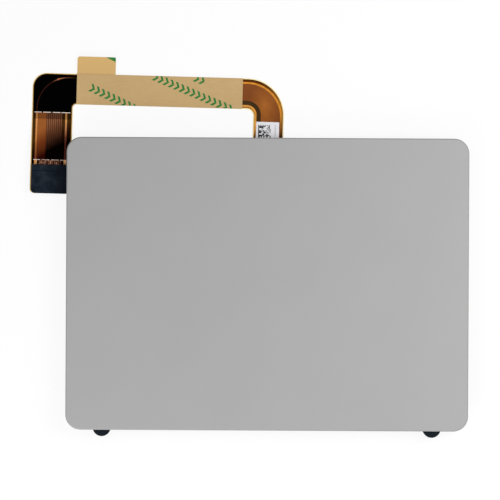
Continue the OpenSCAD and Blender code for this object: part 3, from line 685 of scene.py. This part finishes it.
# Their dark stops at 18 mm are painted shade where the cable runs under the glass
OUTER_LINE = leg_look("copper_line_outer", {18.0: (42, 24, 6), 21.5: (168, 108, 46), 24.0: (230, 150, 54)})
INNER_LINE = leg_look("copper_line_inner", {18.0: (62, 38, 14), 18.8: (156, 102, 46), 20.5: (244, 170, 75)})
SHIELDED_LINE = shielded_line_look()
BEND_GLINT = speckled("copper_bend_glint", 900.0, (150, 80, 50), (206, 122, 80), (236, 160, 112))
PADS = speckled("contact_pads", 1100.0, (72, 40, 26), (126, 80, 56), (178, 126, 100))
END_PADS = speckled("contact_end_pads", 900.0, (200, 136, 84), (230, 168, 112), (244, 188, 134))

# Inks
INK_GREEN = plain("ink_green", (44, 120, 54), 0.6, specular=0.2, tint=0.2, patch=900.0)
INK_BLACK = plain("ink_black", (28, 29, 33), 0.6, specular=0.2, tint=0.25, patch=2000.0)
INK_GREY = plain("ink_grey", (168, 170, 178), 0.6, specular=0.2, tint=0.1, patch=2000.0)


# Meshes: how far what lies on the film stands out of it, and is let into it
TRACE_LIFT = 0.012
TRACE_SINK = 0.002


def make_piece(name, verts, faces, face_looks, smooth=False):
    """Mesh object from points, faces and the look of each face."""
    mesh = bpy.data.meshes.new(name)
    mesh.from_pydata(verts, [], faces)
    looks = list(dict.fromkeys(face_looks))
    for look in looks:
        mesh.materials.append(look.material)
    mesh.polygons.foreach_set("material_index", [looks.index(look) for look in face_looks])
    mesh.polygons.foreach_set("use_smooth", [smooth] * len(faces))
    return add_object(name, mesh)


def piece_of_grid(name, grid, look, smooth=False):
    """Mesh object of one look from a bmesh, which is freed."""
    grid.verts.index_update()
    verts = [v.co.copy() for v in grid.verts]
    faces = [[v.index for v in face.verts] for face in grid.faces]
    grid.free()
    return make_piece(name, verts, faces, [look] * len(faces), smooth)


def settle(piece, slot, *nodes):
    """Lets a piece ride on the pad and stand for CAD nodes, which it hides. The slot is not used."""
    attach(piece, "pad")
    if nodes:
        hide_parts(*nodes)


def two_faces(points, low, high):
    """Points on an upper face, followed by those on a lower face."""
    return [place(*p, high(*p)) for p in points] + [place(*p, low(*p)) for p in points]


def slab(rows, low, high):
    """Closed sheet over rows of points, with the heights of its lower and upper face. Returns points and
    faces: first the upper faces row by row, then the lower ones, then the walls."""
    count, last = len(rows[0]), len(rows) - 1
    under = len(rows) * count
    verts = two_faces([point for row in rows for point in row], low, high)
    corners = [i * count + j for i in range(last) for j in range(count - 1)]
    cells = [(k, k + 1, k + count + 1, k + count) for k in corners]
    faces = cells + [tuple(under + k for k in reversed(cell)) for cell in cells]
    ring = list(range(count - 1)) + [i * count + count - 1 for i in range(last)]
    ring += [last * count + j for j in range(count - 1, 0, -1)] + [i * count for i in range(last, 0, -1)]
    faces += [(a, under + a, under + b, b) for a, b in zip(ring, ring[1:] + ring[:1])]
    return verts, faces


def on_film(rows, lift):
    """Closed sheet on the film. It stands out by lift and is let into the film a little."""
    return slab(rows, raised(film_top, -TRACE_SINK), raised(film_top, lift))


def ribbon(path, width, lift):
    """Flat closed strip along a path on the film."""
    points = densified(path)
    rows = []
    for i, (u, v) in enumerate(points):
        before, after = points[max(0, i - 1)], points[min(len(points) - 1, i + 1)]
        scale = width / 2 / math.dist(before, after)
        side_u, side_v = (before[1] - after[1]) * scale, (after[0] - before[0]) * scale
        rows.append([(u + side_u, v + side_v), (u - side_u, v - side_v)])
    return on_film(rows, lift)


def prism(outline, low, high):
    """Closed flat shape over an outline."""
    count = len(outline)
    faces = [tuple(range(count)), tuple(range(2 * count - 1, count - 1, -1))]
    faces += [(i, count + i, count + (i + 1) % count, (i + 1) % count) for i in range(count)]
    return two_faces(outline, low, high), faces


def joined(name, shapes):
    """One piece from several shapes, each given as (points and faces, look)."""
    verts, faces, face_looks = [], [], []
    for (shape_verts, shape_faces), look in shapes:
        start = len(verts)
        verts += shape_verts
        faces += [tuple(start + k for k in face) for face in shape_faces]
        face_looks += [look] * len(shape_faces)
    return make_piece(name, verts, faces, face_looks)


# Flex cable: a film with golden rims, brown over its copper on the right and dark on the plug leg
EDGE_W = 0.23
PLUG_EDGE_W = 0.15
RIM_W = 0.34
FILM_COLUMNS = 25
# Rows of points across it, from the tip to the plug end
BEND_STEPS = 16
TIP_LEG = (11.0, 22.5)
TIP_LEG_STEPS = 10
RUN_SPAN = (-8.0, TAPE_LEFT + 1)
RUN_STEPS = 28
TURN_DEG = 100
TURN_GAP = 0.4
TURN_STEPS = 36
SHIELD_ROWS = [24.0, SHIELD_V, 23.0]
END_ROWS = [10.5, 9.0, UNDER_LINE_END, 6.5, 5.0, END_V + END_CORNER_R]
CORNER_ANGLES = [math.radians(a) for a in spread(15.0, 90.0, 5)]


def cable_pairs():
    """Points on the inner and the outer edge of the cable, side by side, from the tip to the plug end."""
    rises = [TIP_V, TIP_V / 2, 0.0] + spread(*TIP_BEND, BEND_STEPS) + spread(*TIP_LEG, TIP_LEG_STEPS)
    made = [((-LEG_HALF, v), (LEG_HALF, v)) for v in rises]
    made += zip(arc(INNER_CENTRE, INNER_R, 0, 90), arc(OUTER_CENTRE, OUTER_R, 0, 90))
    made += [((u, RUN_LOW), (u, RUN_HIGH)) for u in spread(*RUN_SPAN, RUN_STEPS) + [TAPE_LEFT]]
    inner = arc(END_INNER_CENTRE, END_INNER_R, TURN_DEG, 180, TURN_STEPS)
    outer = [(TAPE_LEFT - TURN_GAP, RUN_HIGH)] + arc(END_OUTER_CENTRE, END_OUTER_R, 90, 180)
    outer.append((END_LEFT, inner[-1][1]))
    made += zip(inner, resampled(outer, TURN_STEPS))
    falls = SHIELD_ROWS + spread(PLUG_BEND[1], PLUG_BEND[0], BEND_STEPS) + END_ROWS
    made += [((END_RIGHT, v), (END_LEFT, v)) for v in falls]
    for angle in CORNER_ANGLES:
        v = END_V + END_CORNER_R * (1 - math.sin(angle))
        inset = END_CORNER_R * (1 - math.cos(angle))
        made.append(((END_RIGHT - inset, v), (END_LEFT + inset, v)))
    return made


def film_row(pair):
    """Points across the film, with a narrow rim at each edge, which is paler at its outside."""
    width = math.dist(*pair)
    edge = (EDGE_W if pair[0][0] > TAPE_LEFT else PLUG_EDGE_W) / width
    rim = RIM_W / width
    shares = [0.0, edge] + spread(rim, 1 - rim, FILM_COLUMNS) + [1 - edge, 1.0]
    return [between(*pair, share) for share in shares]


def make_film():
    """The film with its looks: rims, the brown right part, the dark plug leg, and lines below."""
    verts, faces = slab([film_row(pair) for pair in pairs], film_low, film_top)
    brown = LOOKS["flex_film"]
    upper, under = [], []
    for (u, v), _ in pairs[:-1]:
        field = brown if u > TAPE_LEFT else FILM_DARK
        line = UNDER_LINE if u > TAPE_LEFT or v > UNDER_LINE_END else brown
        lines = [line if j % 2 else brown for j in range(FILM_COLUMNS)]
        upper += [FILM_EDGE, FILM_RIM] + [field] * FILM_COLUMNS + [FILM_RIM, FILM_EDGE]
        under += [FILM_EDGE, FILM_RIM] + lines + [FILM_RIM, FILM_EDGE]
    walls = [FILM_EDGE] * (len(faces) - len(upper) - len(under))
    return make_piece("flex_film", verts, faces, upper + under + walls)


pairs = cable_pairs()
flex_film = make_film()
settle(flex_film, "flex_film", "flex_cable")


# Copper lines beside the label
LINE_W = 0.46
RIGHT_END = TAPE_RIGHT - 1.5
INNER_LINE_INSET = 0.62
BAND_INSET = 1.47
BAND_W = 1.04
# The lines lie further in from the edges on the run than on the leg
INNER_RUN_SHIFT = 0.2
LEG_LINE_INSET = 0.74
RUN_LINE_INSET = 1.16
LINE_R = 8.9
LINE_CENTRE = (LEG_HALF - LEG_LINE_INSET - LINE_R, RUN_HIGH - RUN_LINE_INSET - LINE_R)


def turned_path(centre, radius):
    """Path up the tip leg, around a bend and along the run to a point under the tape."""
    turn = arc(centre, radius, 0, 90)
    return [(turn[0][0], TIP_V)] + turn + [(RIGHT_END, turn[-1][1])]


def inner_line(inset):
    """Path along the inner edge."""
    return turned_path((INNER_CENTRE[0], INNER_CENTRE[1] + INNER_RUN_SHIFT), INNER_R + inset)


def outer_shade():
    """Dark wedge between the edge and the line along it. It is narrow on the leg and wider on the run."""
    rim = densified(turned_path(OUTER_CENTRE, OUTER_R - EDGE_W))
    line = resampled(turned_path(LINE_CENTRE, LINE_R + LINE_W / 2), len(rim) - 1)
    return on_film(list(zip(line, rim)), TRACE_LIFT / 2)


# Copper of the plug leg, and the glints on it
LEG_LOW = 10.75
LEG_HIGH = SHIELD_V - 0.1
FIRST_LINE = -60.31
SECOND_LINE = -52.65
POUR_MIDDLE = -58.91
POUR_W = 2.23
FIELD_MIDDLE = -55.75
FIELD_W = 4.05
STRIPE_COUNT = 8
STRIPE_PITCH = 0.519
FIRST_STRIPE = -57.5
STRIPE_W = 0.24
PAD_COUNT = 12
PAD_PITCH = 0.5
FIRST_PAD = -59.3
PAD_W = 0.34
PAD_LOW = 9.55
PAD_HIGH = 10.6
END_PAD_W = 0.7
GLINT_W = 0.17
GLINT_SPANS = [(-60.9, -59.1), (-58.7, -56.7), (-56.2, -54.2), (-53.9, -51.6)]


def upright(u, low, high, width, lift=TRACE_LIFT):
    """Straight strip along the plug leg."""
    return ribbon([(u, low), (u, high)], width, lift)


def make_traces():
    """Copper lines, stripes and pads of the cable, and painted highlights where its cover films end."""
    shapes = [
        (outer_shade(), EDGE_BROWN),
        (ribbon(turned_path(LINE_CENTRE, LINE_R), LINE_W, TRACE_LIFT), OUTER_LINE),
        (ribbon(inner_line(INNER_LINE_INSET), LINE_W, TRACE_LIFT), INNER_LINE),
        (ribbon(inner_line(BAND_INSET), BAND_W, TRACE_LIFT / 2), BAND),
        (upright(POUR_MIDDLE, LEG_LOW, LEG_HIGH, POUR_W, TRACE_LIFT / 2), POUR),
        (upright(FIELD_MIDDLE, LEG_LOW, LEG_HIGH, FIELD_W, TRACE_LIFT / 2), FIELD),
    ]
    for u, look in ((FIRST_LINE, FIRST_COPPER), (SECOND_LINE, SECOND_COPPER)):
        shapes.append((upright(u, LEG_LOW, LEG_HIGH, LINE_W), look))
        shapes.append((upright(u, PAD_LOW, LEG_LOW, END_PAD_W), END_PADS))
    for i in range(STRIPE_COUNT):
        shapes.append((upright(FIRST_STRIPE + i * STRIPE_PITCH, LEG_LOW, LEG_HIGH, STRIPE_W), STRIPES))
    for i in range(PAD_COUNT):
        shapes.append((upright(FIRST_PAD + i * PAD_PITCH, PAD_LOW, PAD_HIGH, PAD_W), PADS))
    for start, end in GLINT_SPANS:
        for v, look in ((SHIELD_V, GLINT), (LEG_LOW, GLINT_LOW)):
            shapes.append((ribbon([(start, v), (end, v)], GLINT_W, 2 * TRACE_LIFT), look))
    return joined("flex_traces", shapes)


# Copper line that shows through the shield
ARC_R = 8.14
ARC_INSET = 1.1
ARC_CENTRE = (FIRST_LINE + ARC_R, RUN_HIGH - ARC_INSET - ARC_R)
ARC_W = 0.27
ARC_START_GAP = 0.2
ARC_END_GAP = 0.05
ARC_GLINT_DEG = (107.0, 111.0)
ARC_GLINT_W = 0.4


def make_shield():
    """Black shield over the corner above the plug leg, with a copper line that shows through it."""
    covered = [pair for pair in pairs if pair[0][0] <= TAPE_LEFT and pair[0][1] >= SHIELD_V - TOLERANCE]
    over = on_film([film_row(pair)[2:-2] for pair in covered], TRACE_LIFT)
    turn = [(FIRST_LINE, SHIELD_V + ARC_START_GAP)] + arc(ARC_CENTRE, ARC_R, 180, 90)
    turn.append((TAPE_LEFT - ARC_END_GAP, RUN_HIGH - ARC_INSET))
    spot = arc(ARC_CENTRE, ARC_R, *ARC_GLINT_DEG, 4)
    return joined("shield_film", [
        (over, SHIELD),
        (ribbon(turn, ARC_W, 2 * TRACE_LIFT), SHIELDED_LINE),
        (ribbon(spot, ARC_GLINT_W, 3 * TRACE_LIFT), BEND_GLINT),
    ])


flex_traces = make_traces()
shield_film = make_shield()
settle(flex_traces, "flex_film")
settle(shield_film, "flex_film")


# Release liner: kraft paper that lies a little wavy on the tape, with a pull tab that lifts at its end
LINER_WAVE = 0.03
WAVE_U = 0.55
WAVE_V = 0.8
WAVE_SLANT = 0.2
TAB_LIFT = 0.35
TAB_COLUMNS = 14
TAB_ROWS = 8
RUN_COLUMNS = 40
RUN_ROWS = 10


def liner_low(u, v):
    """Height of the underside of the liner."""
    wave = LINER_WAVE * (1 + math.sin(u * WAVE_U) * math.cos(v * WAVE_V + u * WAVE_SLANT)) / 2
    tab = max(0.0, (v - RUN_HIGH) / (TAB_HIGH - RUN_HIGH))
    return TAPE_TOP + wave + TAB_LIFT * tab * tab


liner_top = raised(liner_low, LINER_T)


def make_liner():
    """Paper sheet in two runs of cells: along the tape, and up the tab with its round corners."""
    along = spread(TAPE_LEFT, TAB_RIGHT, TAB_COLUMNS) + spread(TAB_RIGHT, TAPE_RIGHT, RUN_COLUMNS)[1:]
    run_rows = [[(u, v) for u in along] for v in spread(RUN_LOW, RUN_HIGH, RUN_ROWS)]
    tab = [(v, 0.0) for v in spread(RUN_HIGH, TAB_HIGH - TAB_R, TAB_ROWS)]
    tab += [(TAB_HIGH - TAB_R * (1 - math.sin(a)), TAB_R * (1 - math.cos(a))) for a in CORNER_ANGLES]
    tab_rows = []
    for v, inset in tab:
        tab_rows.append([(u, v) for u in spread(TAPE_LEFT + inset, TAB_RIGHT - inset, TAB_COLUMNS)])
    grid = bmesh.new()
    for rows in (run_rows, tab_rows):
        corners = [[grid.verts.new(place(*p, liner_top(*p))) for p in row] for row in rows]
        for a, b in zip(corners, corners[1:]):
            for i in range(len(a) - 1):
                grid.faces.new((a[i], a[i + 1], b[i + 1], b[i]))
    bmesh.ops.remove_doubles(grid, verts=grid.verts, dist=TOLERANCE * MM)
    liner = piece_of_grid("liner_sheet", grid, LOOKS["liner_paper"])
    thick = liner.modifiers.new("thickness", "SOLIDIFY")
    thick.thickness = LINER_T * MM
    thick.offset = -1.0
    return liner


# Print on the liner: rows of plain chevrons, each given as (start, slant in degrees, count), and a wedge
CHEVRON_H = 2.1
CHEVRON_REACH = 0.8
CHEVRON_STROKE = 0.66
CHEVRON_PITCH = 1.5
# The two strokes of a chevron stay a hair apart, so that each is a shape of its own
CHEVRON_GAP = 0.02
INK_T = 0.004
PRINT_MARGIN = 0.05
PRINT_ROWS = [((-46.7, 30.0), -24.0, 9), ((-30.3, 33.3), -21.5, 15), ((-19.6, 33.3), -21.5, 2)]
TAB_WEDGE = [(-43.0, 38.0), (-40.0, 36.6), (-40.0, 38.0)]


def clipped(outline, low, high):
    """The part of a convex outline that lies inside a rectangle."""
    for axis, limit, sign in ((0, low[0], 1), (0, high[0], -1), (1, low[1], 1), (1, high[1], -1)):
        made = []
        for a, b in zip(outline, outline[1:] + outline[:1]):
            inside_a, inside_b = sign * (a[axis] - limit) >= 0, sign * (b[axis] - limit) >= 0
            if inside_a:
                made.append(a)
            if inside_a != inside_b:
                made.append(between(a, b, (limit - a[axis]) / (b[axis] - a[axis])))
        outline = made
    return outline


def chevron_row(start, slant_deg, count):
    """Outlines of a row of chevrons that point along the row."""
    slant = math.radians(slant_deg)
    outlines = []
    for i in range(count):
        for side in (-1, 1):
            back = CHEVRON_PITCH * i
            tip = back + CHEVRON_REACH
            middle, end = side * CHEVRON_GAP / 2, side * CHEVRON_H / 2
            stroke = [(tip, middle), (back, end)]
            stroke += [(x + CHEVRON_STROKE, y) for x, y in reversed(stroke)]
            # Both strokes run around the same way
            outlines.append([(start[0] + x * math.cos(slant) - y * math.sin(slant),
                              start[1] + x * math.sin(slant) + y * math.cos(slant))
                             for x, y in stroke[::-side]])
    return outlines


def make_liner_print():
    """Green chevrons on the liner, and a wedge on its tab, cut off near the edges."""
    low = (TAPE_LEFT + PRINT_MARGIN, RUN_LOW + PRINT_MARGIN)
    high = (TAPE_RIGHT - PRINT_MARGIN, RUN_HIGH - PRINT_MARGIN)
    outlines = [clipped(outline, low, high) for row in PRINT_ROWS for outline in chevron_row(*row)]
    tab_low = (TAPE_LEFT + PRINT_MARGIN, RUN_HIGH)
    tab_high = (TAB_RIGHT - PRINT_MARGIN, TAB_HIGH - PRINT_MARGIN)
    outlines.append(clipped(TAB_WEDGE, tab_low, tab_high))
    ink_top = raised(liner_top, INK_T)
    shapes = [(prism(outline, liner_top, ink_top), INK_GREEN) for outline in outlines if outline]
    return joined("liner_print", shapes)


liner_sheet = make_liner()
liner_print = make_liner_print()
settle(liner_sheet, "liner_paper", "release_liner")
settle(liner_print, "liner_paper")


# Label: a block of plain random dots and a column of dashes, which say nothing
LABEL_R = 0.25
LABEL_ARC_STEPS = 5
LABEL_SEED = 4
DOT = 0.275
DOT_GAP = 0.01
DOT_COUNT = 12
DOT_SHARE = 0.45
DOTS_LEFT = -2.6
DOTS_HIGH = 21.4
DASH_U = 1.75
DASH_W = 0.22
DASH_LENGTH = (0.15, 0.4)
DASH_GAP = 0.15
DASHES_LOW = LABEL_LOW + 1


def make_label():
    """White label with round corners."""
    left, right = LABEL_LEFT + LABEL_R, LABEL_RIGHT - LABEL_R
    low, high = LABEL_LOW + LABEL_R, LABEL_HIGH - LABEL_R
    outline = []
    for i, centre in enumerate([(right, low), (right, high), (left, high), (left, low)]):
        outline += arc(centre, LABEL_R, 90 * i - 90, 90 * i, LABEL_ARC_STEPS)
    return joined("label_sheet", [(prism(outline, film_top, label_top), LOOKS["label_paper"])])


def printed(u, v, width, height):
    """Rectangle of ink on the label, from its lower left corner."""
    outline = [(u, v), (u + width, v), (u + width, v + height), (u, v + height)]
    return prism(outline, label_top, raised(label_top, INK_T))


def make_label_print():
    """Dots and dashes on the label."""
    draw = random.Random(LABEL_SEED)
    dots = {(row, 0) for row in range(DOT_COUNT)} | {(0, column) for column in range(0, DOT_COUNT, 2)}
    for row in range(1, DOT_COUNT):
        for column in range(1, DOT_COUNT):
            if draw.random() < DOT_SHARE:
                dots.add((row, column))
    side = DOT - DOT_GAP
    shapes = []
    for row, column in sorted(dots):
        dot = printed(DOTS_LEFT + column * DOT, DOTS_HIGH - (row + 1) * DOT, side, side)
        shapes.append((dot, INK_BLACK))
    v = DOTS_HIGH
    while v > DASHES_LOW:
        length = draw.uniform(*DASH_LENGTH)
        shapes.append((printed(DASH_U, v - length, DASH_W, length), INK_GREY))
        v -= length + DASH_GAP
    return joined("label_print", shapes)


label_sheet = make_label()
label_print = make_label_print()
settle(label_sheet, "label_paper", "cable_label")
settle(label_print, "label_paper")


# Pieces and nodes that lie on the cable
def declare_cable():
    """Lists what lies on the cable outside the socket; nothing reads the list."""
    carried = [flex_traces, shield_film, liner_sheet, liner_print, label_sheet, label_print]
    carried += ["tip_stiffener", "plug_stiffener", "cable_plug", "plug_contacts", "adhesive_tape"]


declare_cable()


# Springs: copies of the CAD sheets, some with cuts where they bend
WELD = 0.0005 * MM
BEND_CUTS = 8
LEVER_BEND = 1.0 * MM


def spring_copy(name, source, cuts=(), smooth=False):
    """Copy of a CAD node's mesh in spring steel, welded and cut across Y at some places."""
    grid = bmesh.new()
    grid.from_mesh(frame["nodes"][source].data)
    bmesh.ops.remove_doubles(grid, verts=grid.verts, dist=WELD)
    for y in cuts:
        geometry = grid.verts[:] + grid.edges[:] + grid.faces[:]
        bmesh.ops.bisect_plane(grid, geom=geometry, dist=WELD, plane_co=(0.0, y, 0.0),
                               plane_no=(0.0, 1.0, 0.0))
    bmesh.ops.dissolve_degenerate(grid, edges=grid.edges, dist=WELD)
    return piece_of_grid(name, grid, LOOKS["spring_steel"], smooth)


def make_leaves():
    """Copies of the leaf springs, cut across between the mounting bar and the frame."""
    bar_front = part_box("mount_bar")[0].y
    frame_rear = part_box("support_frame")[1].y
    for side in ("left", "right"):
        source = "hinge_leaf_" + side
        leaf = spring_copy("leaf_" + side, source, spread(bar_front, frame_rear, BEND_CUTS))
        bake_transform(leaf)
        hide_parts(source)


def make_lever():
    """Copy of the click lever, cut across at the edge of its riveted end."""
    joints = {joint["name"]: joint for joint in frame["record"]["behaviour"]["joints"]}
    line_y = joints["lever_press"]["pos_m"][1]
    start_y, end_y = line_y + LEVER_BEND, line_y - LEVER_BEND
    lever = spring_copy("lever_strip", "click_lever", spread(start_y, end_y, BEND_CUTS))
    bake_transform(lever)
    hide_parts("click_lever")


def make_dome():
    """Snap dome under the plunger, copied in spring steel; it rides on the pad."""
    dome = spring_copy("snap_dome", "switch_dome", smooth=True)
    settle(dome, "spring_steel", "switch_dome")
    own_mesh(dome)


make_leaves()
make_lever()
make_dome()


# Ground gaskets: foam in a metallised fabric, crowned and with round edges
GASKET_HALF_W = 2.0 * MM
GASKET_TILT = 88
GASKET_RINGS = 28
GASKET_STEPS = 40
# Powers that shape them along and across: the smaller, the squarer
GASKET_LONG = 0.14
GASKET_ROUND = 0.32


def power(value, exponent):
    """Signed power."""
    return math.copysign(abs(value) ** exponent, value)


def make_gaskets():
    """Two soft pads, one under each side of the frame."""
    low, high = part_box("ground_gaskets")
    half_l, half_h = (high.y - low.y) / 2, (high.z - low.z) / 2
    turns = [2 * math.pi * j / GASKET_STEPS for j in range(GASKET_STEPS)]
    verts, faces = [], []
    for side in (-1, 1):
        middle = Vector((side * (high.x - GASKET_HALF_W), (low.y + high.y) / 2, (low.z + high.z) / 2))
        start = len(verts)
        for tilt_deg in spread(-GASKET_TILT, GASKET_TILT, GASKET_RINGS):
            tilt = math.radians(tilt_deg)
            reach = power(math.cos(tilt), GASKET_LONG)
            y = half_l * power(math.sin(tilt), GASKET_LONG)
            for turn in turns:
                x = GASKET_HALF_W * reach * power(math.cos(turn), GASKET_ROUND)
                z = half_h * reach * power(math.sin(turn), GASKET_ROUND)
                verts.append(middle + Vector((x, y, z)))
        rings = [range(k, k + GASKET_STEPS) for k in range(start, len(verts), GASKET_STEPS)]
        for ring, following in zip(rings, rings[1:]):
            for j in range(GASKET_STEPS):
                faces.append((ring[j], ring[j - 1], following[j - 1], following[j]))
        faces.append(tuple(rings[0]))
        faces.append(tuple(reversed(rings[-1])))
    looks = [LOOKS["gasket_fabric"]] * len(faces)
    gaskets = make_piece("gasket_pads", verts, faces, looks, smooth=True)
    settle(gaskets, "gasket_fabric", "ground_gaskets")


make_gaskets()


# CAD nodes that stay: their materials, and softened edges
EDGE_MM = {"mount_bar": 0.12, "support_frame": 0.08, "cable_plug": 0.08, "plug_stiffener": 0.05,
           "touch_glass": 0.04, "touch_controller": 0.06, "memory_chip": 0.06, "regulator_chip": 0.06,
           "clock_crystal": 0.15}
EDGE_OTHER = 0.03
EDGE_SEGMENTS = 2
EDGE_ANGLE = math.radians(40)
FLAT_SHEETS = ("glass_bond", "frame_bond", "adhesive_tape", "bumper_left", "bumper_right")
NODE_WELD = 0.0001 * MM


def soften(name, piece):
    """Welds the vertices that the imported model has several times, and rounds sharp edges a little."""
    weld = piece.modifiers.new("weld", "WELD")
    weld.merge_threshold = NODE_WELD
    if name in FLAT_SHEETS:
        return
    edge = piece.modifiers.new("edge", "BEVEL")
    edge.width = EDGE_MM.get(name, EDGE_OTHER) * MM
    edge.segments = EDGE_SEGMENTS
    edge.limit_method = "ANGLE"
    edge.angle_limit = EDGE_ANGLE
    edge.harden_normals = True


for part in frame["record"]["subparts"]:
    piece = frame["nodes"][part["node"]]
    if not piece.hide_render:
        piece.material_slots[0].material = LOOKS[part["material_slot"]].material
        soften(part["node"], piece)
